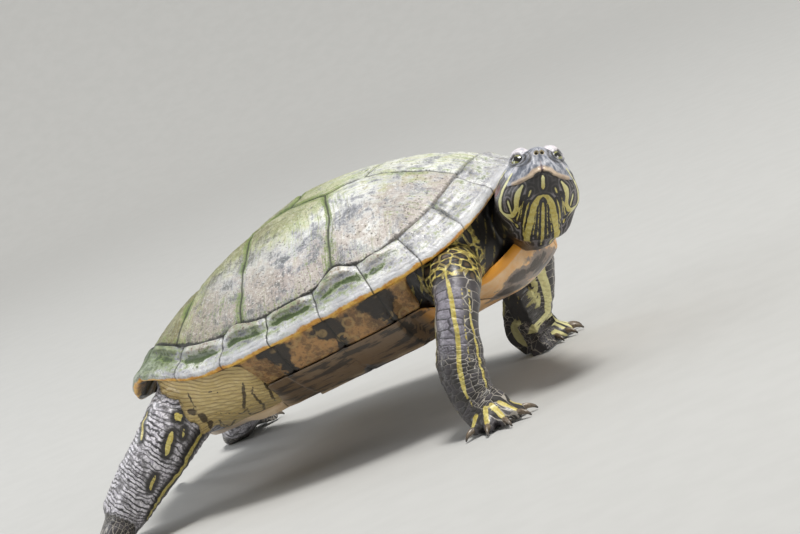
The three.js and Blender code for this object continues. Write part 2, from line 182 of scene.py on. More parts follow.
def signedVolume(points, faces):
    # Sum of the tetrahedra from the middle to each corner triangle.
    total = 0
    middle = points.mean(0)
    for group in faces:
        for k in range(1, group.shape[1] - 1):
            a, b, c = (points[group[:, n]] - middle for n in (0, k, k + 1))
            total += np.einsum("ij,ij->i", a, np.cross(b, c)).sum()
    return total


def joinSolids(solids):
    # Closed solids as one list of points and faces, each solid turned to face out.
    points, faces, start = [], [], 0
    for p, groups in solids:
        turned = [group if signedVolume(p, groups) > 0 else group[:, ::-1] for group in groups]
        faces += [group + start for group in turned]
        points.append(p)
        start += len(p)
    return np.vstack(points), faces


def meshFrom(name, points, faces, values=None):
    # A mesh in metres whose faces point out, with a point attribute for each named array.
    if signedVolume(points, faces) < 0:
        faces = [group[:, ::-1] for group in faces]
    mesh = bpy.data.meshes.new(name)
    rows = [row for group in faces for row in group.tolist()]
    mesh.from_pydata(((points - frameShift) * metres).tolist(), [], rows)
    mesh.polygons.foreach_set("use_smooth", np.full(len(rows), True))
    writeValues(mesh, values or {})
    mesh.update()
    return mesh


def writeValues(mesh, values):
    # One attribute for each named array, a number or a vector at each point.
    for key, array in values.items():
        kind = "FLOAT_VECTOR" if array.ndim == 2 else "FLOAT"
        layer = mesh.attributes.new(key, kind, "POINT")
        layer.data.foreach_set("vector" if array.ndim == 2 else "value", array.astype(np.float32).ravel())


def readPoints(mesh, kind="co"):
    # Places or normals of the mesh's points as rows of three.
    flat = np.zeros(len(mesh.vertices) * 3, np.float32)
    mesh.vertices.foreach_get(kind, flat)
    return flat.reshape(-1, 3).astype(float)


def putInScene(name, data):
    # A new object at the origin that shows the data.
    made = bpy.data.objects.new(name, data)
    bpy.context.scene.collection.objects.link(made)
    return made


def placePiece(name, mesh, material, slot, *nodes):
    # A piece with its one material, tied to the body, with the CAD's nodes that it stands for hidden.
    piece = putInScene(name, mesh)
    mesh.materials.append(material)
    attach(piece, "root")
    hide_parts(*nodes)
    print(name + ":", len(mesh.vertices), "points")
    return piece


def gridNormals(points):
    # The cross product of the slopes along the grid's two directions.
    down, across = np.gradient(points, axis=(0, 1))
    return unit(np.cross(down, across))


def facing(normal, outward):
    # Turned round wherever it points against the outward direction.
    return np.where((normal * outward).sum(-1, keepdims=True) < 0, -normal, normal)


class Wire:
    # A node's output that can be added to, taken from, multiplied and divided, each by a Math node.
    def __init__(self, finish, socket):
        self.finish = finish
        self.socket = socket

    def __add__(self, other):
        return self.finish.sum("ADD", self, other)

    def __sub__(self, other):
        return self.finish.sum("SUBTRACT", self, other)

    def __mul__(self, other):
        return self.finish.sum("MULTIPLY", self, other)

    def __truediv__(self, other):
        return self.finish.sum("DIVIDE", self, other)


class Finish:
    # A material with short calls for the nodes that its pattern is made of, and its colours by name.
    def __init__(self, name, colours, **sockets):
        self.colours = colours
        self.material = bpy.data.materials.new(name)
        self.material.use_nodes = True
        self.tree = self.material.node_tree
        self.shader = self.tree.nodes["Principled BSDF"]
        for key, value in sockets.items():
            self.shader.inputs[key.replace("_", " ")].default_value = value

    def put(self, socket, value):
        if isinstance(value, Wire):
            self.tree.links.new(value.socket, socket)
        elif isinstance(value, str):
            socket.default_value = (*self.colours[value], 1)
        else:
            socket.default_value = value

    def node(self, kind, **settings):
        made = self.tree.nodes.new(kind)
        for key, value in settings.items():
            setattr(made, key, value)
        return made

    def out(self, made, name):
        return Wire(self, made.outputs[name])

    def place(self):
        return self.out(self.node("ShaderNodeTexCoord"), "Object")

    def value(self, name, vector=False):
        return self.out(self.node("ShaderNodeAttribute", attribute_name=name),
                        "Vector" if vector else "Fac")

    def split(self, vector):
        made = self.node("ShaderNodeSeparateXYZ")
        self.put(made.inputs[0], vector)
        return [self.out(made, axis) for axis in "XYZ"]

    def join(self, *numbers):
        made = self.node("ShaderNodeCombineXYZ")
        for socket, number in zip(made.inputs, numbers):
            self.put(socket, number)
        return self.out(made, 0)

    def stretch(self, vector, scale, turn=(0, 0, 0)):
        made = self.node("ShaderNodeMapping")
        self.put(made.inputs["Vector"], vector)
        made.inputs["Scale"].default_value = scale
        made.inputs["Rotation"].default_value = turn
        return self.out(made, "Vector")

    def noise(self, vector, scale, detail, roughness=0.55, distortion=0):
        made = self.node("ShaderNodeTexNoise")
        settings = {"Vector": vector, "Scale": scale, "Detail": detail, "Roughness": roughness,
                    "Distortion": distortion}
        for key, value in settings.items():
            self.put(made.inputs[key], value)
        return self.out(made, "Fac")

    def cells(self, vector, scale, feature="F1", output="Distance", randomness=1):
        made = self.node("ShaderNodeTexVoronoi", feature=feature)
        self.put(made.inputs["Vector"], vector)
        made.inputs["Scale"].default_value = scale
        made.inputs["Randomness"].default_value = randomness
        return self.out(made, output)

    def sum(self, kind, a, b=0.0):
        made = self.node("ShaderNodeMath", operation=kind)
        self.put(made.inputs[0], a)
        self.put(made.inputs[1], b)
        return self.out(made, 0)

    def step(self, value, low, high, start=0.0, end=1.0):
        # A smooth step of the value from start to end between low and high.
        made = self.node("ShaderNodeMapRange", interpolation_type="SMOOTHSTEP")
        for socket, number in zip(made.inputs, (value, low, high, start, end)):
            self.put(socket, number)
        return self.out(made, "Result")

    def mix(self, factor, a, b):
        made = self.node("ShaderNodeMix", data_type="RGBA")
        for number, value in ((0, factor), (6, a), (7, b)):  # the sockets of the colour kind
            self.put(made.inputs[number], value)
        return self.out(made, 2)

    def over(self, base, colour, value, low, high, share=1.0):
        # The colour laid over the base as the value goes from low to high, by its share at most.
        return self.mix(self.step(value, low, high, 0.0, share), base, colour)

    def ramp(self, value, *stops):
        made = self.node("ShaderNodeValToRGB")
        self.put(made.inputs["Fac"], value)
        ends = made.color_ramp.elements
        for k, (at, colour) in enumerate(stops):
            stop = ends[k] if k < 2 else ends.new(at)
            stop.position = at
            stop.color = (*self.colours[colour], 1)
        return self.out(made, "Color")

    def bump(self, height, distance, strength):
        made = self.node("ShaderNodeBump")
        made.inputs["Strength"].default_value = strength
        made.inputs["Distance"].default_value = distance * metres
        self.put(made.inputs["Height"], height)
        return self.out(made, "Normal")

    def wear(self, colour, roughness=None, normal=None):
        for key, value in (("Base Color", colour), ("Roughness", roughness), ("Normal", normal)):
            if value is not None:
                self.put(self.shader.inputs[key], value)
        return self.material


shell = {
    "length": 216, "width": 178, "height": 48.8,  # of the rim's outline, and of the dome over its plane
    "tilt": 6, "lift": 69.1,  # degrees chest up, and the rim's middle over the floor
    "roundness": 0.746, "rearFlare": 0.073, "apexX": 4.6,
    "domeFlat": 1.84, "frontFlat": 0.59, "rearFlat": 0.73, "domeFull": 0.9, "rearFull": 0.18,
    "rimLevel": 0.2, "frontRise": 15.4, "frontBend": 6.9, "rearDrop": 1.2,
    "flare": 11, "flareAt": 138, "flareSpread": 12,
    "wall": 7, "edge": 2.4, "lipRise": 14,
}
belly = {
    "level": -37.2, "middleWide": 47, "thick": 5, "front": 108.5, "rear": -96,
    "lobeStart": 84, "lobeRise": 10, "curl": 2, "frontCurl": 13, "rearCurl": 5,
    "frontBlunt": 0.42, "rearBlunt": 0.5, "frontFrom": 40, "rearFrom": -20,
    "bridgeFront": 58, "bridgeRear": -14, "bridgeFoot": 57, "bridgeBulge": 3.5, "bridgeSeam": 0.42,
    "bridgeStarts": (-34, -20), "bridgeEnds": (70, 60),  # x where the wall swells and fades
    "frontTurn": (58, 78), "rearTurn": (-44, -60),  # x where the lobes' sides begin to turn up
    "wallInset": 2.2, "wallGap": 0.4, "footOut": 1.2, "footUp": 0.6,
}
head = {
    "tip": (135.2, -45.3, 102.3), "forward": (0.492, -0.499, 0.714), "up": (-0.097, 0.783, 0.614),
    "eyeRadius": 4.1, "eyeAt": (7.8, 8.7, 3),  # back from the tip, aside, up
    "browRadius": 5.0, "browAt": (9.0, 6.7, 7.0),
    "gaze": (0.76, 0.64, 0.02),  # forward, aside, up
    "roll": 4,  # degrees more than the CAD's head, left side up
    "eyeInset": 1.1,  # how much nearer to the middle the eyes sit in the rolled head
}
tiltTurn = np.array(Matrix.Rotation(-math.radians(shell["tilt"]), 3, "Y"))
headForward = unit(np.array(head["forward"]))
headLeft = unit(np.cross(head["up"], headForward))
headUp = np.cross(headForward, headLeft)
headAxes = np.array([-headForward, headLeft, headUp])


def onFloor(p):
    # From the shell's own frame: turned by the tilt, then lifted.
    return np.asarray(p, float) @ tiltTurn.T + (0, 0, shell["lift"])


def inShell(p):
    # Back from the floor's frame to the shell's.
    return (p - (0, 0, shell["lift"])) @ tiltTurn


def fromHead(p):
    # Back, aside and up in the head to a place over the floor.
    return np.asarray(p, float) @ headAxes + head["tip"]


def inHead(p):
    # Back, aside and up in the head from a place over the floor.
    return (p - head["tip"]) @ headAxes.T


# The CAD's origin is under the middle of its box, which the right eye tells from the head's own numbers.
back, aside, up = head["eyeAt"]
eyeLow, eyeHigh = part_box("eye_right")
frameShift = fromHead((back, -aside, up)) - np.array((eyeLow + eyeHigh) / 2) / metres

# From here on the head is rolled about its forward axis.
roll = math.radians(head["roll"])
cosRoll, sinRoll = math.cos(roll), math.sin(roll)
headLeft, headUp = headLeft * cosRoll + headUp * sinRoll, headUp * cosRoll - headLeft * sinRoll
headAxes = np.array([-headForward, headLeft, headUp])
head["eyeAt"] = (back, aside - head["eyeInset"], up)


def rimAt(angle):
    # A squared ellipse, 0 at the nape and half a turn at the tail, that rises at the nape and over the
    # hind legs.
    cos, sin = np.cos(angle), np.sin(angle)
    ahead, behind = np.maximum(cos, 0), np.maximum(-cos, 0)
    fromNape = np.degrees(np.arccos(np.clip(cos, -1, 1)))
    x = shell["length"] / 2 * cos
    half = shell["width"] / 2 * (1 - shell["rearFlare"] * cos)
    y = half * np.sign(sin) * np.abs(sin) ** shell["roundness"]
    z = shell["rimLevel"] + shell["frontRise"] * ahead ** shell["frontBend"] - shell["rearDrop"] * behind
    z += shell["flare"] * np.exp(-(((fromNape - shell["flareAt"]) / shell["flareSpread"]) ** 2) / 2)
    return {"x": x, "y": y, "z": z, "ahead": ahead, "behind": behind, "fromNape": fromNape}


def rimAbove(x):
    # The rim on the left side over each x.
    return rimAt(np.arccos(np.clip(x / (shell["length"] / 2), -1, 1)))


def drawnIn(rim, r, z):
    # The rim's plan brought in towards the apex by r, at the height z.
    return together(shell["apexX"] + (rim["x"] - shell["apexX"]) * r, rim["y"] * r, z)


def domePoint(angle, r):
    # The rim drawn in towards the apex by r, at the height rim + (top - rim) (1 - r^flat)^full.
    rim = rimAt(angle)
    ahead, behind = rim["ahead"] ** 2, rim["behind"] ** 2
    flat = shell["domeFlat"] + shell["frontFlat"] * ahead - shell["rearFlat"] * behind
    full = shell["domeFull"] - shell["rearFull"] * behind
    z = rim["z"] + (shell["height"] - rim["z"]) * np.maximum(1 - np.minimum(r, 1) ** flat, 0) ** full
    return drawnIn(rim, r, z)


def shellUnder(p):
    # Height of the shell's underside over each plan position, and its share of the way out to the rim.
    table = np.linspace(-np.pi, np.pi, 1441)
    rim = rimAt(table)
    way = np.arctan2(rim["y"], rim["x"] - shell["apexX"])
    way[0], way[-1] = -np.pi, np.pi
    reach = np.hypot(rim["y"], rim["x"] - shell["apexX"])
    heading = np.arctan2(p[..., 1], p[..., 0] - shell["apexX"])
    r = np.hypot(p[..., 1], p[..., 0] - shell["apexX"]) / np.interp(heading, way, reach)
    angle = np.interp(heading, way, table)
    top = domePoint(angle, r)[..., 2]
    brim = rimAt(angle)["z"] - shell["edge"] + shell["lipRise"] * (1 - r)
    return np.maximum(brim, top - shell["wall"]), r


def plastronHalf(x):
    # Half width at x: a lobe as (1 - ahead^2)^blunt each way, or the bridge's foot where that is wider.
    ahead = np.clip((x - belly["frontFrom"]) / (belly["front"] - belly["frontFrom"]), 0, 1)
    behind = np.clip((x - belly["rearFrom"]) / (belly["rear"] - belly["rearFrom"]), 0, 1)
    lobe = belly["middleWide"] * (1 - ahead ** 2) ** belly["frontBlunt"]
    lobe = lobe * (1 - behind ** 2) ** belly["rearBlunt"]
    rear, front = belly["bridgeRear"], belly["bridgeFront"]
    bridge = ease(rear - 8, rear + 8, x) * ease(front + 8, front - 8, x)
    return np.maximum(lobe, belly["bridgeFoot"] * bridge)


def plastronLevel(x, y):
    # Level in the middle, with the front lobe's tip and both lobes' sides turned up.
    ahead = np.maximum((x - belly["lobeStart"]) / (belly["front"] - belly["lobeStart"]), 0)
    side = np.minimum(np.abs(y) / np.maximum(plastronHalf(x), 1), 1)
    curl = belly["curl"] + (belly["frontCurl"] - belly["curl"]) * ease(*belly["frontTurn"], x)
    curl += (belly["rearCurl"] - belly["curl"]) * ease(*belly["rearTurn"], x)
    return belly["level"] + belly["lobeRise"] * ahead ** 1.6 + curl * side ** 2.4


def wallPoint(x, rimY, rimZ, share):
    # From under the rim, share 0, down and in to the plastron's edge, share 1, bulging half way.
    bulge = belly["bridgeBulge"] * np.sin(np.pi * np.clip(share, 0, 1))
    highY, highZ = np.abs(rimY) - belly["wallInset"], rimZ - shell["edge"] - belly["wallGap"]
    lowY, lowZ = plastronHalf(x) + belly["footOut"], belly["level"] + belly["curl"] + belly["footUp"]
    y = highY + (lowY - highY) * share + bulge
    return np.sign(rimY) * y, highZ + (lowZ - highZ) * share - bulge * 0.6


def bridgeWeight(x):
    # 1 along the bridge, 0 past its two ends.
    return ease(*belly["bridgeStarts"], x) * ease(*belly["bridgeEnds"], x)


# Plan of the scutes in the shell's own x and distance from the middle line, the same on both sides.
scutes = {
    "vertebralEdge": [(96, 22.5), (46, 15), (26, 20.5), (5, 15), (-17, 20.5), (-36, 15), (-50, 20),
                      (-68, 13), (-96, 26)],
    "vertebralSeams": [(46, 15), (5, 15), (-36, 15), (-68, 13)],
    "costalSeams": [
        [(26, 20.5), (30.5, 39), (32, 60.5), (33.7, 90)],
        [(-17, 20.5), (-16, 40.5), (-16.3, 61.6), (-17.3, 90)],
        [(-50, 20), (-46, 40), (-50, 53), (-58, 76)],
    ],
    "vertebralHearts": [(68, 0), (24, 0), (-18, 0), (-53, 0), (-80, 0)],  # where each scute's growth began
    "costalHearts": [(52, 30), (2, 31), (-36, 32), (-66, 30)],
    # Degrees round from the nape.
    "marginalSeams": (1.1, 14.5, 31.5, 47.8, 62.6, 77.1, 91.7, 106.5, 122.2, 139.1, 156.7, 171.3, 180),
    "grooveDepth": 0.75, "grooveWidth": 0.75,
}


def innerEdge(rim):
    # Share of the way out at which the marginal plates begin, scalloped by the costal plates over them.
    deg = rim["fromNape"]
    edge = 0.892 - 0.045 * rim["ahead"] ** 2 - 0.04 * rim["behind"] ** 2
    return edge - 0.05 * bell(deg, 68.5, 4.5) - 0.025 * bell(deg, 101, 4)


def scuteMap(p):
    # Distance to the nearest seam between the inner scutes, the scute's number, the way from the heart of
    # its growth, and whether it is on the spine.
    wobble = together(soft(p, 7, 3), soft(p, 7, 4)) * 0.7
    plan = together(p[..., 0], np.abs(p[..., 1])) + wobble
    x, side = plan[..., 0], plan[..., 1]
    edge = np.array(scutes["vertebralEdge"], float)
    spine = side < np.interp(x, edge[::-1, 0], edge[::-1, 1])
    seam, _ = lineDistance(plan, edge)
    number = np.zeros(x.shape, int)
    for seamX, half in scutes["vertebralSeams"]:
        arch = seamX + 1.6 * (1 - (side / half) ** 2)
        number += (spine & (x < arch))
        seam = np.where(side < half + 2, np.minimum(seam, np.abs(x - arch)), seam)
    for line in scutes["costalSeams"]:
        line = np.array(line, float)
        d, _ = lineDistance(plan, line)
        seam = np.where(spine & (side < line[0, 1]), seam, np.minimum(seam, d))
        number += (~spine & (x < np.interp(side, line[:, 1], line[:, 0])))
    hearts = np.array(scutes["vertebralHearts"] + scutes["costalHearts"], float)
    number = np.where(spine, number, number + len(scutes["vertebralHearts"]))
    heart = hearts[number]
    way = plan - heart
    return seam, number, way, spine


def squareToDisc(side):
    # r is the larger of |u| and |v|, and the angle turns evenly along each square ring.
    line = np.linspace(-1, 1, side)
    u, v = np.meshgrid(line, line, indexing="ij")
    r = np.maximum(np.abs(u), np.abs(v))
    wide = np.abs(u) >= np.abs(v)
    overU, overV = np.where(np.abs(u) < 1e-9, 1, u), np.where(np.abs(v) < 1e-9, 1, v)
    turnU = np.pi / 4 * v / overU + np.where(u < 0, np.pi, 0)
    turnV = np.pi / 2 - np.pi / 4 * u / overV + np.where(v < 0, np.pi, 0)
    return r, np.where(wide, turnU, turnV)


plates = {
    "side": 300,  # grid lines each way
    "swell": 0.7, "swellReach": 9,  # how far each plate rises from its seams, and over what distance
    "rings": 0.11, "ringStep": 2.1,  # growth rings: height and spacing
    "tuck": 2.6,  # how deep the outer edge turns down into the crack
    "keel": 0.9,
    "inward": (0.995, 0.96, 0.6), "drop": (1.2, 4.5, 7),  # the sheet's underside: how far out, how deep
}


def makeCarapacePlates():
    # The vertebral and costal plates as one sheet: the dome, moved along its normal by seams, swellings,
    # growth rings and wear, and closed underneath.
    count = plates["side"]
    share, angle = squareToDisc(count)
    rim = rimAt(angle)
    border = innerEdge(rim)
    reach = np.hypot(rim["x"] - shell["apexX"], rim["y"])
    r = share * (border + 0.6 / reach)
    p = domePoint(angle, r)
    outer = (border - r) * reach
    seam, number, way, spine = scuteMap(p)
    nearest = np.minimum(seam, np.maximum(outer, 0))
    groove = scutes["grooveDepth"] * bell(seam, 0, scutes["grooveWidth"])
    swell = plates["swell"] * (1 - np.exp(-nearest / plates["swellReach"] * 2)) - plates["swell"]
    depth = nearest + 0.5 * soft(p, 5, 8)
    rings = plates["rings"] * np.sin(depth * 2 * np.pi / plates["ringStep"]) * np.exp(-nearest / 9)
    rough = 0.28 * layered(p, 9, 3, 11) + 0.1 * layered(p, 1.6, 2, 12)
    ray, length = np.arctan2(way[..., 1], way[..., 0]), lengths(way)
    streak = together(np.cos(ray) * 14, np.sin(ray) * 14, length / 14 + number * 7.0)
    ribs = 0.14 * soft(streak, 0.8, 13) * ease(4, 14, length)
    keel = plates["keel"] * bell(p[..., 1], 0, 3.2) * ease(60, 10, p[..., 0])
    edgeTurn = plates["tuck"] * ease(1.1, -0.4, outer) ** 1.5
    height = swell - groove + rings + rough + ribs + keel
    normal = facing(gridNormals(p), np.array([0, 0, 1]))
    top = p + normal * height[..., None]
    top[..., 2] -= edgeTurn
    x, aside = p[..., 0], np.abs(p[..., 1])
    spread = bell(seam, 0, 2.7 + 1.6 * soft(p, 12, 21)) * (1 - 0.6 * ease(15, 45, x))
    moss = 1.15 * spread * ease(0.1, 0.7, 0.5 + 0.6 * layered(p, 14, 2, 22))
    moss += 0.5 * ease(-58, -86, x) + 0.25 * layered(p, 11, 3, 25)
    moss += 0.25 * bell(outer, 2, 3) * ease(50, 20, x)
    wide = 34 - 14 * ease(10, 45, x)
    olive = ease(wide + 22, wide - 4, aside) * (1 - 0.45 * ease(10, 45, x))
    side = ease(55, 72, aside) * ease(-56, -46, x)
    olive += 1.2 * ease(-28, -62, x) * (1 - 0.5 * side) + 0.3 * layered(p, 16, 3, 24)
    low = ease(0.5, 0.86, r / border)
    warm = low * (0.8 + 0.35 * layered(p, 12, 2, 27)) * (1 - 0.8 * spine)
    # Painted shade: darker towards the tail and over the top of the dome behind its front, less low on the
    # sides.
    shade = 0.45 * ease(20, -16, x) + 0.5 * ease(-18, -50, x)
    shade = shade * (1 - 0.6 * low * ease(-58, -44, x)) + 0.2 * layered(p, 13, 3, 28)
    shade = np.clip(shade + 0.25 * ease(0.6, 0.35, r / border) * ease(40, 20, x), 0, 1)
    tone = latticeValue(together(number, number * 3, number * 7), 5)
    boundary = np.concatenate([
        np.arange(count), np.arange(2, count) * count - 1, count * count - 1 - np.arange(count),
        np.arange(count - 2, 0, -1) * count])
    loops = []
    flatTop, flatAngle, flatR = top.reshape(-1, 3), angle.ravel(), r.ravel()
    for scale, fall in zip(plates["inward"], plates["drop"]):
        ring = domePoint(flatAngle[boundary], flatR[boundary] * scale)
        ring[:, 2] -= fall + plates["tuck"] * (scale > 0.9)
        loops.append(ring)
    start = count * count
    bound = len(boundary)
    tip = domePoint(np.zeros(1), np.zeros(1)) - (0, 0, plates["drop"][-1])
    points = onFloor(np.vstack([flatTop, *loops, tip]))
    chain = [boundary] + [start + k * bound + np.arange(bound) for k in range(len(loops))]
    walls = [together(b, np.roll(b, -1), np.roll(a, -1), a) for a, b in zip(chain[:-1], chain[1:])]
    faces = [gridFaces(count, count), *walls, fanFaces(chain[-1][::-1], len(points) - 1)]
    extra = len(points) - start
    values = {
        "seam": seam, "outer": np.maximum(outer, 0), "moss": moss, "warm": warm, "tone": tone,
        "olive": olive, "low": low, "fromNape": rim["fromNape"], "shade": shade,
        "pale": ease(-40, 70, x) * 2 - 1,
    }
    values = {key: np.concatenate([v.ravel(), np.full(extra, v.mean())]) for key, v in values.items()}
    return meshFrom("carapace_plates", points, faces, values)


def evenAngles(count):
    # Angles round the rim at equal steps along its length, with the seams' places in millimetres.
    fine = np.linspace(0, 2 * np.pi, 7201)
    rim = rimAt(fine)
    run = np.concatenate([[0], np.cumsum(np.hypot(np.diff(rim["x"]), np.diff(rim["y"])))])
    angles = np.interp(np.arange(count) * run[-1] / count, run, fine)
    right = np.radians(scutes["marginalSeams"])
    seamRuns = np.interp(np.concatenate([right, 2 * np.pi - right]), fine, run)
    return angles, np.interp(angles, fine, run), np.unique(seamRuns.round(4)), run[-1]


rimPlates = {
    "around": 1060,  # columns
    "top": 34, "turn": 7, "under": 22,  # rows on each stretch of the section
    "innerReach": 0.80,  # how far in the brim's underside goes
    "ridge": 2.1, "dip": 0.9, "lip": 0.7,
    "notch": 1.1,  # how far the seams bite into the rear edge
    "round": 1.1, "brimRoom": 3, "brimDeep": 7,  # the edge's radius, and the brim's place under the dome
}


def makeRimPlates():
    # The marginal plates and the nuchal as one closed ring: each section climbs out of the crack, runs
    # out along the dome, turns round the edge and goes back along the brim or down the bridge's wall.
    angles, runs, seamRuns, total = evenAngles(rimPlates["around"])
    rim = rimAt(angles[:, None])
    reach = np.hypot(rim["x"] - shell["apexX"], rim["y"])
    gaps = (runs[:, None] - seamRuns + total / 2) % total - total / 2
    near = np.take_along_axis(gaps, np.abs(gaps).argmin(1)[:, None], 1)
    seam = np.abs(near)
    deg = rim["fromNape"]
    rear = ease(112, 138, deg)
    border = innerEdge(rim)
    notch = rimPlates["notch"] * bell(seam, 0, 1.7) * (0.2 + rear)
    notch = notch + 0.3 * soft(together(runs, 0, 0), 4, 61)[:, None]
    outEdge = 1 - (rimPlates["round"] + notch) / reach
    q = np.linspace(0, 1, rimPlates["top"])[None]
    r = border + (outEdge - border) * q
    top = domePoint(angles[:, None], r)
    middle = ease(0, 7, seam)
    swollen = (0.35 + 0.65 * ease(48, 60, deg)) * (1 - 0.7 * ease(128, 142, deg))
    lumps = soft(top, 6, 41)
    foot = 0.34 + 0.07 * soft(top, 16, 44) + 0.03 * lumps  # where the ridge ends on the way out
    ridge = ease(0.03, 0.14, q) * ease(foot + 0.05, foot - 0.07, q) * middle * swollen
    furrow = bell(q, foot + 0.19, 0.13) * swollen
    height = rimPlates["ridge"] * ridge * (0.8 + 0.35 * lumps)
    height = height - rimPlates["dip"] * furrow + rimPlates["lip"] * bell(q, 0.93, 0.1)
    height = height - 1.5 * ease(0.06, 0, q) - scutes["grooveDepth"] * bell(seam, 0, 0.7)
    height += 0.25 * layered(top, 7, 3, 42) + 0.08 * layered(top, 1.5, 2, 43)
    normal = facing(gridNormals(top), np.array([0, 0, 1]))
    top += normal * height[..., None]
    turn = np.linspace(0, np.pi, rimPlates["turn"] + 2)[None, 1:-1]
    outTurn = outEdge + rimPlates["round"] * np.sin(turn) / reach
    first = top[:, -1:, 2]
    last = rim["z"] - shell["edge"]
    edgeZ = (first + last) / 2 + (first - last) / 2 * np.cos(turn)
    edge = drawnIn(rim, outTurn, edgeZ)
    c = np.linspace(0, 1, rimPlates["under"])[None]
    brimR = outEdge + (rimPlates["innerReach"] - outEdge) * c
    brimZ = rim["z"] - shell["edge"] + shell["lipRise"] * (outEdge - brimR)
    dome = domePoint(angles[:, None], brimR)[..., 2]
    brimZ = np.clip(brimZ, dome - rimPlates["brimDeep"], dome - rimPlates["brimRoom"])
    brim = drawnIn(rim, brimR, brimZ)
    wallShare = np.maximum(c * 1.1 - 0.1, 0) * belly["bridgeSeam"]
    wallY, wallZ = wallPoint(rim["x"], rim["y"], rim["z"], wallShare)
    wall = together(rim["x"], wallY, wallZ)
    held = bridgeWeight(rim["x"])[..., None]
    under = brim * (1 - held) + wall * held
    underNormal = facing(gridNormals(under), under - np.array([shell["apexX"], 0, 10]))
    dent = scutes["grooveDepth"] * bell(seam, 0, 0.7) * ease(0, 0.1, c) + 0.15 * layered(under, 8, 3, 47)
    under -= underNormal * (dent * ease(0, 0.12, c))[..., None]
    inner = domePoint(angles[:, None], border - 0.004)
    inner[..., 2] -= 3.4
    back = np.stack([under[:, -1] * (1 - t) + inner[:, 0] * t for t in (0.35, 0.7)], 1)
    back[..., 2] += np.array([1.5, 1])[None]
    sections = np.concatenate([inner, top, edge, under, back], 1)
    rows, columns = sections.shape[:2]
    step = lengths(np.diff(sections, axis=1))
    across = np.concatenate([np.zeros((rows, 1)), np.cumsum(step, 1)], 1)
    edgeAt = 1 + rimPlates["top"] + rimPlates["turn"] // 2
    fromEdge = across[:, edgeAt:edgeAt + 1] - across  # above 0 on top, below it underneath
    points = onFloor(sections.reshape(-1, 3))
    column, last = np.arange(columns), (rows - 1) * columns
    beside = (column + 1) % columns
    closing = together(last + column, last + beside, beside, column)
    mossy = 0.3 + 0.95 * ease(108, 140, deg) + 0.35 * bell(deg, 88, 22)
    # How dark the furrow is painted, partly moss, partly shade in the hollow: less by the seams and at the
    # front.
    furrow = furrow * (0.3 + 0.7 * middle) * (0.1 + 0.9 * ease(50, 62, deg))
    forms = np.zeros((2, rows, columns))
    forms[:, :, 1:1 + rimPlates["top"]] = np.stack([ridge, furrow])
    values = {
        "seam": seam, "fromEdge": fromEdge, "moss": mossy + 0.3 * layered(sections, 9, 3, 51),
        "crack": across - 3, "ridge": forms[0], "furrow": forms[1], "fromNape": deg, "run": runs[:, None],
    }
    values = {key: np.broadcast_to(v, (rows, columns)).ravel() for key, v in values.items()}
    print("rim sections:", rows, "of", columns)
    return meshFrom("carapace_rim", points, [gridFaces(rows, columns, around=True), closing], values)


bellyPlates = {
    "rows": 250, "flatColumns": 42, "sideColumns": 26, "innerColumns": 8,
    "seamsMiddle": (88, 52, 18, -28, -60),  # x of each cross seam on the middle line
    "seamsEdge": (72, 51, 22, -31, -74),  # and at the plastron's edge
}


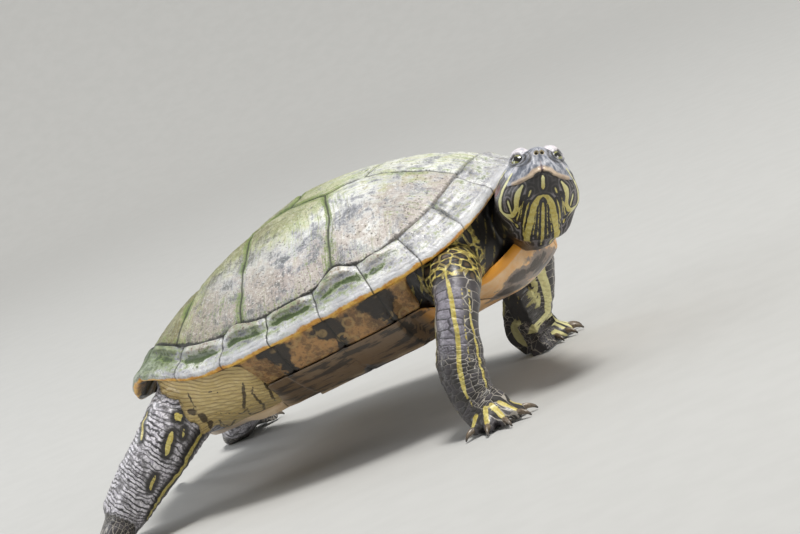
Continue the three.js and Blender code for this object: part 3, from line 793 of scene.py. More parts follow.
def makePlastronPlates():
    # Sections across x: out along the underside, up the lobe's edge or the bridge's wall, back inside.
    b = bellyPlates
    turn = np.linspace(0.02, np.pi - 0.02, b["rows"])[:, None]
    x = (belly["front"] + belly["rear"] + (belly["front"] - belly["rear"]) * np.cos(turn)) / 2
    half = plastronHalf(x)
    rim = rimAbove(x)
    out = np.sin(np.linspace(0, np.pi / 2, b["flatColumns"]))[None]
    flatY = half * out
    flatZ = plastronLevel(x, flatY)
    c = np.linspace(0, 1, b["sideColumns"] + 1)[None, 1:]
    lobeY = half + 1.0 * np.sin(np.pi * c) * np.minimum(half / 10, 1)
    lobeZ = plastronLevel(x, half) + belly["thick"] * c
    wallY, wallZ = wallPoint(x, rim["y"], rim["z"], 1 - (1 - belly["bridgeSeam"] - 0.008) * c)
    held = bridgeWeight(x)
    sideY, sideZ = lobeY * (1 - held) + np.abs(wallY) * held, lobeZ * (1 - held) + wallZ * held
    d = np.linspace(0, 1, b["innerColumns"] + 1)[None, 1:]
    innerY = sideY[:, -1:] * (1 - d)
    level = plastronLevel(x, innerY) + belly["thick"]
    fall = ease(0, 0.4, d) * held + (1 - held)
    innerZ = (sideZ[:, -1:] - 2 * held * np.minimum(d * 6, 1)) * (1 - fall) + level * fall
    innerY -= 3.5 * held * np.minimum(d * 6, 1) * (1 - d)
    halfY = np.concatenate([flatY, sideY, innerY], 1)
    halfZ = np.concatenate([flatZ, sideZ, innerZ], 1)
    y = np.concatenate([halfY, -halfY[:, -2:0:-1]], 1)
    z = np.concatenate([halfZ, halfZ[:, -2:0:-1]], 1)
    p = together(x, y, z)
    kinds = np.concatenate([np.zeros(b["flatColumns"]), np.linspace(0, 1, b["sideColumns"] + 1)[1:],
                            np.full(b["innerColumns"], 1.3)])
    climb = np.broadcast_to(np.concatenate([kinds, kinds[-2:0:-1]]), y.shape)
    outside = climb < 1.2
    side = np.abs(y)
    wobble = 0.8 * soft(p, 8, 71)
    seam = np.full(y.shape, 1e9)
    for k, (mid, end) in enumerate(zip(b["seamsMiddle"], b["seamsEdge"])):
        share = np.minimum(side / np.maximum(half, 8), 1) ** (1.2 if k else 1)
        lineX = mid + (end - mid) * share
        seam = np.minimum(seam, np.abs(x - lineX - wobble) * (0.95 if k else 0.8))
    seam = np.minimum(seam, np.abs(y - 0.5 * wobble) + 30 * (climb > 0))
    foot = np.abs(climb * 30 - 1.5) + 30 * (1 - held)
    seam = np.minimum(seam, foot)
    relief = -0.6 * bell(seam, 0, 0.7) + 0.25 * layered(p, 10, 3, 73) + 0.3 * (1 - np.exp(-seam / 6))
    centre = together(x, y * 0.3, -10)
    normal = facing(gridNormals(p), p - centre)
    p += normal * (relief * outside)[..., None]
    points, faces = closedTube(onFloor(p))
    values = {"seam": np.minimum(seam, 60), "climb": climb, "bridge": held, "lobe": ease(56, 66, x)}
    values = {key: np.append(np.broadcast_to(v, y.shape), [0, 0]) for key, v in values.items()}
    print("plastron half section:", halfY.shape[1])
    return meshFrom("plastron_plates", points, faces, values)


hornColours = {
    "chalk": (0.88, 0.89, 0.87), "ash": (0.62, 0.63, 0.63), "lilac": (0.4, 0.4, 0.44),
    "shade": (0.17, 0.18, 0.19), "sand": (0.5, 0.45, 0.34), "clay": (0.38, 0.315, 0.28),
    "olive": (0.36, 0.42, 0.15), "straw": (0.52, 0.52, 0.27), "barkAndShade": (0.15, 0.135, 0.05),
    "moss": (0.16, 0.225, 0.055), "deepMossAndShade": (0.045, 0.072, 0.022), "pit": (0.035, 0.038, 0.028),
    "slate": (0.12, 0.13, 0.145), "seamAndCrackShade": (0.01, 0.01, 0.007),
}
rimColours = {
    "orange": (0.56, 0.25, 0.035), "gold": (0.82, 0.5, 0.1), "brown": (0.15, 0.082, 0.035),
    "tan": (0.42, 0.225, 0.08), "soot": (0.016, 0.014, 0.012), "ring": (0.4, 0.27, 0.11),
    "lip": (0.7, 0.71, 0.74), "ridge": (0.33, 0.26, 0.18),
}
bellyColours = {
    "tan": (0.66, 0.46, 0.27), "cream": (0.88, 0.68, 0.46), "orange": (0.85, 0.36, 0.03),
    "brown": (0.12, 0.072, 0.036), "soot": (0.02, 0.019, 0.018), "grey": (0.15, 0.155, 0.17),
}


def growthSpace(f, place, seam):
    # Places that run along the seams and change fast away from them, for growth lines.
    x, y, _ = f.split(place)
    return f.join(seam * 0.75, x * 48, y * 48)


def hornFinish():
    # Weathered horn: white and lilac clouds, olive towards the ridge and the tail, green by the seams,
    # growth lines along them, pale flecks, dark pits, dark brown painted shade towards the tail and over
    # the top, and a dark line round the outer edge, the seam's own colour with painted shade down in the
    # crack, that fades at the nape.
    f = Finish("wetHorn", hornColours,
               Roughness=0.45, Coat_Weight=0.12, Coat_Roughness=0.25, Specular_IOR_Level=0.4)
    place = f.place()
    seam, outer = f.value("seam"), f.value("outer")
    broad, mid = f.noise(place, 46, 5, 0.62), f.noise(place, 250, 4, 0.7)
    cloud = f.noise(place, 105, 4, 0.62, 0.6)
    fine, grit = f.noise(place, 600, 4, 0.7), f.noise(place, 1500, 2, 0.6)
    growth = growthSpace(f, place, seam)
    rings, thinRings = f.noise(growth, 0.8, 5, 0.72), f.noise(growth, 1.6, 3, 0.65)
    patch = cloud * 0.42 + broad * 0.25 + rings * 0.17 + mid * 0.16 + f.value("pale") * 0.03
    base = f.ramp(patch, (0.4, "shade"), (0.45, "lilac"), (0.5, "ash"), (0.56, "chalk"))
    lineZone = f.step(f.noise(place, 60, 3), 0.42, 0.62)
    base = f.mix(f.step(thinRings, 0.5, 0.64) * lineZone * 0.6, base, "sand")
    base = f.over(base, "slate", f.value("tone"), 0.3, 1, 0.2)
    clayField = f.value("warm") + (mid - 0.5) * 2 + (cloud - 0.5) * 2
    base = f.over(base, "clay", clayField, 0.25, 0.95, 0.8)
    oliveField = f.value("olive") + (rings - 0.5) * 1.6 + (cloud - 0.5) * 2.2
    straw = f.mix(f.step(mid, 0.4, 0.62), "olive", "straw")
    base = f.over(base, straw, oliveField, 0.2, 0.95, 0.75)
    base = f.over(base, "barkAndShade", oliveField, 0.9, 1.7, 0.8)
    stain = f.step(cloud * 0.45 + rings * 0.3 + mid * 0.25, 0.485, 0.43)
    base = f.mix(stain * f.step(f.value("pale"), -0.6, 0.8, 0.6, 0.35), base, "slate")
    # Painted shade: dark brown laid on where the shade attribute says, with fewer pale flecks there.
    paintedShade = f.value("shade") * f.step(mid * 0.5 + rings * 0.5, 0.36, 0.62, 1.35, 0.55)
    base = f.mix(paintedShade, base, "barkAndShade")
    fleck = f.step(grit * 0.45 + fine * 0.55, 0.545, 0.6)
    base = f.mix(fleck * f.step(f.value("shade"), 0.2, 0.9, 0.45, 0.15), base, "chalk")
    mossField = f.value("moss") + (rings - 0.5) * 2.4 + (fine - 0.5) * 2
    base = f.over(base, "moss", mossField, 0.22, 0.75, 0.75)
    base = f.over(base, "deepMossAndShade", mossField, 0.75, 1.25, 0.8)
    veilZone = f.step(f.noise(place, 28, 3), 0.42, 0.6)
    veil = f.step(thinRings * 0.6 + fine * 0.4, 0.52, 0.6)
    base = f.mix(veil * veilZone * 0.5, base, "moss")
    pits = f.step(f.cells(place, 560), 0.36, 0)
    pitZone = f.step(f.noise(place, 80, 4) + f.value("low") * 0.1, 0.5, 0.62)
    base = f.mix(pits * pitZone * 0.85, base, "pit")
    scratches = f.step(mid * 0.5 + thinRings * 0.5, 0.57, 0.62) * lineZone
    base = f.mix(scratches * 0.75, base, "slate")
    grime = f.step(fine * 0.6 + grit * 0.4, 0.45, 0.39)
    base = f.mix(grime * 0.5, base, "pit")
    line = f.step(seam + fine * 0.5, 1.1, 0.45)
    base = f.mix(line * 0.85, base, "pit")
    # Dark line in the crack at the outer edge: partly the seam's colour, partly painted shade in the gap.
    crack = f.step(outer + (broad + fine - 1) * 2.4, 1.5, 0.7)
    crack *= f.step(f.value("fromNape"), 34, 60, 0.45, 0.95)
    base = f.mix(crack, base, "seamAndCrackShade")
    rough = f.step(mossField + fine * 0.6, 0.3, 1.3, 0.38, 0.68)
    grain = rings + thinRings * 0.4 + fine * 0.7
    normal = f.bump(grain - pits * pitZone * 0.6, 0.5, 0.8)
    return f.wear(base, rough, normal)


def rimFinish():
    # The marginal plates: a brown ridge, a green furrow that is partly moss and partly painted shade, a
    # pale lip on top, a thin gold edge, orange brown underneath with soot-dark blotches at the seams and
    # small rings, and painted shade down in the crack.
    f = Finish("rimHorn", {**hornColours, **rimColours},
               Roughness=0.4, Coat_Weight=0.2, Coat_Roughness=0.25, Specular_IOR_Level=0.45)
    place = f.place()
    grit = f.noise(place, 1500, 2, 0.6)
    seam, edge, nape = f.value("seam"), f.value("fromEdge"), f.value("fromNape")
    broad, mid, fine = f.noise(place, 60, 4, 0.6), f.noise(place, 190, 4, 0.65), f.noise(place, 520, 3, 0.6)
    uneven, uneven2 = broad - 0.5, mid - 0.5
    along = f.noise(f.join(f.value("run") * 0.09, edge * 0.42), 1, 4, 0.65)
    patch = broad * 0.4 + along * 0.3 + mid * 0.3
    top = f.ramp(patch, (0.42, "shade"), (0.48, "lilac"), (0.53, "ash"), (0.62, "chalk"))
    ridgeTone = f.mix(f.step(fine, 0.4, 0.62), "ridge", "ash")
    ridgeField = f.value("ridge") + uneven * 2 + uneven2 * 1.5
    top = f.over(top, ridgeTone, ridgeField, 0.3, 0.8, 0.8)
    mossField = f.value("moss") + (along - 0.5) * 1.5 + uneven2 * 1.1
    mossField += f.step(edge, 1.5, 5, -0.45, 0) + (fine - 0.5) * 1.8
    top = f.over(top, "sand", fine * 0.6 + grit * 0.4, 0.5, 0.58, 0.4)
    top = f.over(top, "moss", mossField, 0.3, 0.9, 0.7)
    top = f.over(top, "deepMossAndShade", mossField, 0.8, 1.3, 0.8)
    # The furrow under the ridge: partly moss, partly painted shade in the hollow.
    furrow = f.value("furrow") * 1.6 + uneven * 3.2 + uneven2 * 2.6
    top = f.over(top, "moss", furrow, 0.35, 0.95, 0.75)
    top = f.over(top, "deepMossAndShade", furrow + (fine - 0.5) * 1.5, 0.75, 1.15, 0.9)
    top = f.over(top, "slate", along * 0.6 + mid * 0.4, 0.56, 0.63, 0.55)
    grime = f.step(fine * 0.6 + grit * 0.4, 0.45, 0.39)
    top = f.mix(grime * 0.55, top, "pit")
    lip = f.step(edge + uneven * 8 + uneven2 * 5, 5.4, 1.6) * f.step(nape, 122, 96, 0.1, 0.62)
    top = f.mix(lip, top, "lip")
    warp = edge + uneven * 5 + uneven2 * 2.5
    gold = f.mix(f.step(mid, 0.38, 0.62), "orange", "gold")
    colour = f.mix(f.step(warp, 0, -0.9) * f.step(nape, 0, 40, 0.7, 1), top, gold)
    under = f.mix(f.step(mid * 0.6 + broad * 0.5, 0.49, 0.64), "brown", "tan")
    smoke = f.step(f.noise(place, 95, 4, 0.65) * 0.6 + mid * 0.4, 0.5, 0.58)
    under = f.mix(smoke * 0.55, under, "soot")
    under = f.over(under, "ring", fine, 0.52, 0.62, 0.35)
    colour = f.over(colour, under, warp, -2, -5.4)
    blotchWide = f.step(edge, -1.5, -6, 2.5, 9.5) * f.step(edge, -18, -9, 0.25, 1)
    ragged = uneven * 24 + uneven2 * 14
    blotchField = (seam + ragged) / blotchWide
    blotch = f.step(blotchField, 1.15, 0.75) * f.step(edge + mid * 3, 0.2, -1.6)
    colour = f.mix(blotch * 0.95, colour, "soot")
    spots = f.cells(place, 120)
    ringLine = f.step(spots, 0.2, 0.26) * f.step(spots, 0.4, 0.33)
    ringLine *= f.step(edge, -4, -7) * f.step(broad, 0.44, 0.52)
    colour = f.mix(ringLine * 0.55, colour, "ring")
    line = f.step(seam + fine * 0.4, 0.85, 0.3)
    colour = f.mix(line * 0.9, colour, "seamAndCrackShade")
    # Down in the crack: partly the seam's own dark colour, partly painted shade in the gap.
    crack = f.step(f.value("crack") + (broad + mid - 1) * 2, 2, 1)
    crack *= f.step(nape, 34, 60, 0.4, 0.95) * f.step(edge, 1, 3)
    colour = f.mix(crack, colour, "seamAndCrackShade")
    rough = f.step(mossField + mid, 0.6, 1.8, 0.3, 0.6)
    grain = along + mid * 0.5 + fine * 0.9
    return f.wear(colour, rough, f.bump(grain, 0.5, 0.9))


def bellyFinish():
    # The plastron: tan and cream with soot-grey figures, orange along the front lobe's edge, brown bridges.
    f = Finish("bellyHorn", bellyColours,
               Roughness=0.42, Coat_Weight=0.3, Coat_Roughness=0.2, Specular_IOR_Level=0.5)
    place = f.place()
    seam, bridge = f.value("seam"), f.value("bridge")
    broad, mid = f.noise(place, 36, 4, 0.6, 0.6), f.noise(place, 150, 4, 0.65)
    fine = f.noise(place, 520, 3, 0.6)
    base = f.mix(f.step(broad, 0.4, 0.62), "tan", "cream")
    base = f.mix(bridge * f.step(f.value("climb"), -0.1, 0.1) * 0.92, base, "brown")
    warm = f.step(f.value("climb") + mid * 0.2, 0, 0.25) * f.value("lobe")
    base = f.mix(warm, base, "orange")
    figure = f.cells(f.stretch(place, (0.55, 1, 1), (0, 0, 0.2)), 34, "SMOOTH_F1")
    figureField = figure + (mid - 0.5) * 0.35 + (broad - 0.5) * 0.8
    base = f.over(base, "grey", figureField, 0.31, 0.25, 0.8)
    base = f.over(base, "soot", figureField, 0.22, 0.15, 0.75)
    streak = f.noise(f.stretch(place, (1, 6, 6)), 40, 4, 0.6)
    base = f.mix(f.step(streak, 0.49, 0.56) * bridge * 0.8, base, "soot")
    line = f.step(seam + fine * 0.4, 0.9, 0.3)
    base = f.mix(line * 0.85, base, "soot")
    rough = f.step(mid, 0.3, 0.7, 0.32, 0.5)
    grain = streak * 0.5 + mid * 0.6 + fine * 0.5
    return f.wear(base, rough, f.bump(grain, 0.4, 0.6))


placePiece("carapace_plates", makeCarapacePlates(), hornFinish(), "carapace", "carapace")
placePiece("carapace_rim", makeRimPlates(), rimFinish(), "carapace", "carapace")
placePiece("plastron_plates", makePlastronPlates(), bellyFinish(), "plastron", "plastron", "bridge_left",
           "bridge_right")


# Stations along each limb: x, y, z, half width, half depth; the half widths lie along its across.
limbs = {
    "foreRight": {
        "node": "fore_right", "across": (0.87, 0.31, 0), "toeRadius": 3,
        "stations": [
            (64, -32, 65, 15, 14), (74.5, -48, 66.5, 15, 13.5), (82, -63, 63.5, 12.2, 11.6),
            (83, -73, 56, 10.2, 10), (81, -79, 47, 9.6, 9.6), (79, -82, 37, 10.3, 9.6),
            (77, -85, 27, 11.2, 9.7), (77.4, -87, 18, 10.4, 8.8)],
        "foot": [(79.5, -87.5, 12, 10, 7.5), (83.5, -88.5, 6.5, 11, 6)],
        "toes": [(77.5, -98.5), (85, -100.5), (92, -98), (96.5, -91.5), (96.5, -84)],
        "scale": (4.0, 2.0), "plates": (7.5, 3.5), "platesTo": 70, "fromBody": 34,
    },
    "foreLeft": {
        "node": "fore_left", "across": (0.87, 0.31, 0), "toeRadius": 3,
        "stations": [
            (62, 32, 66, 15, 14), (71, 47, 64, 15, 14), (75, 58, 54, 13, 12), (72.5, 64, 42, 12, 11),
            (68, 66, 31, 11.8, 10.4), (62.5, 67, 21, 11.2, 9.6), (59, 68, 14, 10, 8.6)],
        "foot": [(58.5, 68, 11, 9.5, 7.5), (62.5, 69, 6.5, 10.5, 6)],
        "toes": [(72, 59.5), (75.5, 65), (76, 71.5), (73.5, 77.5), (68, 82)],
        "scale": (4.0, 2.0), "plates": (6.5, 3.2), "platesTo": 62, "fromBody": 30,
    },
    "hindRight": {
        "node": "hind_right", "across": (0.8, -0.1, 0.6), "toeRadius": 3.3,
        "stations": [
            (-60, -37, 57, 20, 18), (-66, -53, 52, 21, 17), (-74, -67, 44, 20, 15.5),
            (-85, -76, 34, 19, 14), (-97, -82, 24.5, 18.3, 12.5), (-106.5, -86, 16, 16.5, 11)],
        "foot": [(-109, -87, 12.5, 14.5, 9), (-114, -95, 7, 15, 6.4)],
        "toes": [(-101, -112), (-109, -116), (-118, -117), (-127, -113)],
        "scale": (2.4, 1.5), "plates": (2.4, 1.5), "platesTo": 0, "fromBody": 24,
    },
    "hindLeft": {
        "node": "hind_left", "across": (0.8, 0.1, 0.6), "toeRadius": 3.3,
        "stations": [
            (-58, 37, 57, 20, 18), (-67, 53, 52, 20, 17), (-80, 66, 43, 19, 15),
            (-94, 75, 33, 18, 13.5), (-107, 81, 24, 17.3, 12), (-116, 85, 16, 15.5, 10.5)],
        "foot": [(-118, 86, 12.5, 14, 9), (-123, 93, 7, 14.5, 6.4)],
        "toes": [(-113, 111), (-121, 114), (-130, 113), (-138, 108)],
        "scale": (2.4, 1.5), "plates": (2.4, 1.5), "platesTo": 0, "fromBody": 24,
    },
}
neck = {
    "stations": [(78, -2, 71, 21, 19), (94, -4, 74, 20.5, 18), (106, -10, 76, 20, 17.5),
                 (114, -20, 77.5, 19, 16.5)],
    "across": (0, 1, 0),
}
throat = {
    "stations": [(102, -10, 71, 13, 13), (110, -20, 69.5, 11.5, 11.5), (116.5, -29, 69.5, 9.5, 10)],
    "across": (0, 1, 0),
}
tail = {
    "stations": [
        (-84, 0, 48, 14, 12), (-97, 1, 44, 11, 9.5), (-110, 4, 35, 7.5, 7),
        (-119, 9, 24, 5, 5), (-126, 16, 14, 3.2, 3.2), (-132, 24, 6, 1.8, 1.8)],
    "across": (0, 1, 0),
}
# Rings across the trunk: the shell's x, half width, middle height, half height.
trunkRings = [
    (-97, 3, -12, 3), (-93, 30, -11, 15), (-84, 54, -9, 24), (-66, 74, -5, 30), (-40, 80, -2, 33),
    (0, 80, 2, 37), (40, 76, 1, 36), (62, 68, -3, 31), (78, 56, -3, 27), (90, 40, -2, 24),
    (98, 22, -1, 17), (101, 4, -1, 4),
]
# Rings from the snout back: back, half width, top, bottom.
headRings = [
    (0, 2.5, 2.2, -2.2), (0.8, 5.2, 4, -7), (3, 8.2, 5.8, -10.4), (6.5, 10.9, 8.2, -12),
    (10.5, 13.6, 10.6, -13), (15, 15.6, 11.8, -13.8), (20, 17.5, 12.2, -14.8), (27, 19.2, 12.2, -16),
    (34, 18.2, 11.6, -16.8), (40, 15.4, 10.6, -16), (44, 10.6, 8, -11),
]
flesh = {
    "voxel": 1.36, "relax": 5, "squareness": 0.8,
    "coreShare": 0.3,  # width left of the trunk where the shell hides it
    "sides": 72,  # points round a section of the trunk or the head
    # Room left under the dome, over the belly and by the wall.
    "clear": 0.4, "floorClear": 0.3, "wallClear": 2.6,
}


def tubeRings(stations, across, sides=40, steps=8, rounding=0.8, caps=5):
    # Ellipses carried along a smooth path, with a dome at each end.
    path = smoothPath(stations, steps)
    centre, size = path[:, :3], path[:, 3:]
    along = unit(np.gradient(centre, axis=0))
    wide = unit(np.array(across, float) - along * (along @ np.array(across, float))[:, None])
    deep = np.cross(along, wide)
    rise = np.linspace(0.12, np.pi / 2, caps, endpoint=False)
    turn = np.concatenate([rise, np.full(len(path), np.pi / 2), rise[::-1]])[:, None]
    end = np.concatenate([-np.ones(caps), np.zeros(len(path)), np.ones(caps)])[:, None]
    row = np.concatenate([np.zeros(caps, int), np.arange(len(path)), np.full(caps, len(path) - 1)])
    a = turns(sides)[None, :, None]
    middle = centre[row] + along[row] * end * size[row, 1:] * rounding * np.cos(turn)
    shrink = np.sin(turn)[:, None]
    ring = wide[row][:, None] * size[row, 0][:, None, None] * np.cos(a)
    ring += deep[row][:, None] * size[row, 1][:, None, None] * np.sin(a)
    return middle[:, None] + ring * shrink


def squaredRing(wide, middle, above, below):
    # A section whose width goes as |cos|^n and height as |sin|^n.
    a = turns(flesh["sides"])
    cos, sin = np.cos(a), np.sin(a)
    n = flesh["squareness"]
    tall = np.where(sin > 0, above[:, None], below[:, None])
    y = wide[:, None] * np.sign(cos) * np.abs(cos) ** n
    return y, middle[:, None] + tall * np.sign(sin) * np.abs(sin) ** n


def trunkSolid():
    # Squared rings along the shell's x, drawn in where the shell hides them.
    rows = smoothPath([(*row, 0) for row in trunkRings], 8)
    x, wide, middle, tall = rows[:, 0], rows[:, 1], rows[:, 2], rows[:, 3]
    hidden = ease(-20, -4, x) * ease(58, 42, x) * (1 - flesh["coreShare"])
    wide, tall = wide * (1 - hidden), tall * (1 - hidden)
    y, z = squaredRing(wide, middle, tall, tall)
    return closedTube(keepInShell(onFloor(together(x[:, None], y, z))))


def headSize(back):
    # Half width, top and bottom of the head at each distance from the snout.
    rows = smoothPath([(*row, 0) for row in headRings], 8)
    return [np.interp(back, rows[:, 0], rows[:, k]) for k in (1, 2, 3)]


def headSolid():
    # Squared rings from the snout back, wider below their middle than above it.
    rows = smoothPath([(*row, 0) for row in headRings], 8)
    back, wide, top, bottom = rows[:, 0], rows[:, 1], rows[:, 2], rows[:, 3]
    middle = top * 0.35 + bottom * 0.65 + 4
    y, z = squaredRing(wide, middle, top - middle, middle - bottom)
    return closedTube(fromHead(together(back[:, None], y, z)))


def ballSolid(centre, radius):
    # A sphere from polar and turning angles, closed at its poles.
    polar, turn = np.meshgrid(np.linspace(0.15, np.pi - 0.15, 20), turns(32), indexing="ij")
    ball = together(np.sin(polar) * np.cos(turn), np.sin(polar) * np.sin(turn), np.cos(polar))
    return closedTube(np.array(centre) + ball * radius)


def toeStations(limb, tip):
    # From the palm forwards and down to the toe's tip, thinner on the way.
    x, y, z = limb["foot"][1][:3]
    r = limb["toeRadius"]
    return [(x, y, z, r, r), ((x + tip[0]) / 2, (y + tip[1]) / 2, 6.2, r * 1.02, r),
            (x * 0.2 + tip[0] * 0.8, y * 0.2 + tip[1] * 0.8, 4.0, r * 0.92, r * 0.92),
            (*tip, r - 0.6, r * 0.8, r * 0.8)]


def footSolids(limb):
    # A palm, a toe to each tip and a thin web between each two toes.
    x, y = limb["foot"][1][:2]
    solids = [closedTube(tubeRings(limb["foot"], limb["across"], rounding=1.4))]
    for tip in limb["toes"]:
        sideways = (tip[1] - y, x - tip[0], 0)
        solids.append(closedTube(tubeRings(toeStations(limb, tip), sideways, sides=24, steps=4)))
    webbed = 0.78 if "hind" in limb["node"] else 0.52
    for one, two in zip(limb["toes"][:-1], limb["toes"][1:]):
        middle = np.array([(one[0] + two[0]) / 2, (one[1] + two[1]) / 2])
        half = np.hypot(one[0] - two[0], one[1] - two[1]) / 2
        far = np.array([x, y]) + (middle - (x, y)) * webbed
        way = middle - (x, y)
        stations = [(x, y, 5.5, half * 0.5, 2.4), (*far, 2.4, half * 0.75, 1.2)]
        solids.append(closedTube(tubeRings(stations, (way[1], -way[0], 0), sides=24, steps=6)))
    return solids


def keepInShell(p):
    # Flesh stays under the dome, over the plastron and inside the bridges' walls.
    s = inShell(p)
    under, r = shellUnder(s)
    ceiling = under - flesh["clear"]
    s[..., 2] = np.where((r < 0.985) & (s[..., 2] > ceiling), ceiling, s[..., 2])
    x = np.clip(s[..., 0], belly["rear"], belly["front"])
    floor = plastronLevel(x, s[..., 1]) + belly["thick"] + flesh["floorClear"]
    inLength = (s[..., 0] > belly["rear"]) & (s[..., 0] < belly["front"])
    onPlate = inLength & (np.abs(s[..., 1]) < plastronHalf(x) - 0.5)
    tooLow = onPlate & (s[..., 2] < floor) & (s[..., 2] > floor - 13)
    s[..., 2] = np.where(tooLow, floor, s[..., 2])
    rim = rimAbove(s[..., 0])
    high = rim["z"] - shell["edge"] - belly["wallGap"]
    low = belly["level"] + belly["curl"] + belly["footUp"]
    share = np.clip((high - s[..., 2]) / (high - low), 0, 1)
    wall = np.abs(wallPoint(s[..., 0], rim["y"], rim["z"], share)[0]) - flesh["wallClear"]
    tooWide = (s[..., 0] > -22) & (s[..., 0] < 64) & (np.abs(s[..., 1]) > wall)
    s[..., 1] = np.where(tooWide, np.sign(s[..., 1]) * wall, s[..., 1])
    return onFloor(s)


def relax(p, edges, rounds):
    # Each round moves a point towards its neighbours' middle, then a little further back, so that
    # roughness goes and volume stays.
    ends = np.concatenate([edges, edges[:, ::-1]])
    count = np.maximum(np.bincount(ends[:, 0], minlength=len(p)), 1)[:, None]
    for k in range(rounds * 2):
        sums = [np.bincount(ends[:, 0], p[ends[:, 1], n], minlength=len(p)) for n in range(3)]
        p = p + (together(*sums) / count - p) * (-0.53 if k % 2 else 0.5)
    return p


def fleshMesh():
    # Every solid of flesh in one mesh, remeshed to one closed skin, finer over the face.
    solids = [trunkSolid(), headSolid()]
    back, aside, up = head["browAt"]
    solids += [ballSolid(fromHead((back, side * aside, up)), head["browRadius"]) for side in (1, -1)]
    solids += [closedTube(tubeRings(part["stations"], part["across"])) for part in (neck, throat, tail)]
    for limb in limbs.values():
        solids.append(closedTube(tubeRings(limb["stations"], limb["across"])))
        solids += footSolids(limb)
    rough = meshFrom("skin_parts", *joinSolids(solids))
    holder = putInScene("skin_parts", rough)
    remesh = holder.modifiers.new("oneSkin", "REMESH")
    remesh.mode = "VOXEL"
    remesh.voxel_size = flesh["voxel"] * metres
    remesh.use_smooth_shade = True
    mesh = bpy.data.meshes.new_from_object(holder.evaluated_get(bpy.context.evaluated_depsgraph_get()))
    bpy.data.objects.remove(holder)
    bpy.data.meshes.remove(rough)
    print("flesh remeshed:", len(mesh.polygons), "faces")
    settle(mesh, flesh["relax"])
    for zone in (headZone, faceZone):
        refine(mesh, zone)
        settle(mesh, 2)
    print("flesh refined:", len(mesh.polygons), "faces")
    mesh.name = "skin"
    return mesh


def headZone(p):
    # True on the head and the front of the throat.
    back, aside, up = inHead(p).T
    wide, _, bottom = headSize(back)
    return (back > -4) & (back < 36) & (np.abs(aside) < wide + 2.5) & (up > bottom - 2) & (up < 15)


def faceZone(p):
    # True round the eyes, on the snout and by the mouth.
    h = inHead(p)
    nearEye = lengths(mirrored(h) - head["eyeAt"]) < 9
    byMouth = (h[:, 0] < 17) & (np.abs(h[:, 2] + 8) < 4.5)
    return headZone(p) & (nearEye | (h[:, 0] < 8) | byMouth)


def meshEdges(mesh):
    # Pairs of point numbers.
    edges = np.zeros(len(mesh.edges) * 2, np.int32)
    mesh.edges.foreach_get("vertices", edges)
    return edges.reshape(-1, 2)


def settle(mesh, rounds):
    # The mesh with its points relaxed.
    p = relax(readPoints(mesh), meshEdges(mesh), rounds)
    mesh.vertices.foreach_set("co", p.astype(np.float32).ravel())
    mesh.update()


def refine(mesh, zone):
    # Halves every edge inside the zone.
    inside = zone(readPoints(mesh) / metres + frameShift)
    grid = bmesh.new()
    grid.from_mesh(mesh)
    edges = [e for e in grid.edges if inside[e.verts[0].index] and inside[e.verts[1].index]]
    bmesh.ops.subdivide_edges(grid, edges=edges, cuts=1, use_grid_fill=True)
    grid.to_mesh(mesh)
    grid.free()
    mesh.update()


def limbPlace(p, part):
    # The nearest place on the limb's axis: along it, across it, through it, the share of its radius and
    # the angle round it, for points near the limb; others get a share of 9.
    path = smoothPath(part["stations"] + part.get("foot", []), 6)
    centre = path[:, :3]
    along = unit(np.gradient(centre, axis=0))
    across = np.array(part["across"], float)
    wide = unit(across - along * (along @ across)[:, None])
    deep = np.cross(along, wide)
    run = runAlong(centre)
    near = np.all((p > centre.min(0) - 30) & (p < centre.max(0) + 30), axis=1)
    q = p[near]
    _, at = lineDistance(q, centre)
    off = q - rowsAt(at, run, centre)
    a, b = (off * rowsAt(at, run, wide)).sum(1), (off * rowsAt(at, run, deep)).sum(1)
    size = rowsAt(at, run, path[:, 3:])
    full = {key: np.full(len(p), fill, float) for key, fill in
            (("along", 0), ("wide", 0), ("deep", 0), ("share", 9), ("angle", 0), ("radius", 10))}
    for key, value in (("along", at), ("wide", a), ("deep", b),
                       ("share", np.hypot(a / size[:, 0], b / size[:, 1])),
                       ("angle", np.degrees(np.arctan2(b, a))), ("radius", size.mean(1))):
        full[key][near] = value
    return full


face = {
    # Lines are back, aside and up in the head, on one side; the other side mirrors them.
    "mouth": [(2.0, 0, -9.1), (3.2, 1.6, -9.7), (4, 3.4, -10.2), (6.2, 6.8, -9.9), (9.5, 10.5, -8.5),
              (12, 12.4, -6.6), (14.6, 14, -5.2), (16.6, 15.2, -4.9)],
    "nostril": (1.25, -0.3), "nostrilWidth": 0.6, "nostrilDepth": 1.5,  # aside and up
    "nose": (-0.6, 0, 2.0), "noseWidth": 3.6, "noseRise": 1.5,
    "ear": (21, 17, 0),
    "lid": 0.62,  # thickness over the eye
    "brow": 1.2,  # and more over its upper side
    "openWide": 46, "openTall": 32,  # half angles of the slit between the lids
    "openTilt": -38,
}
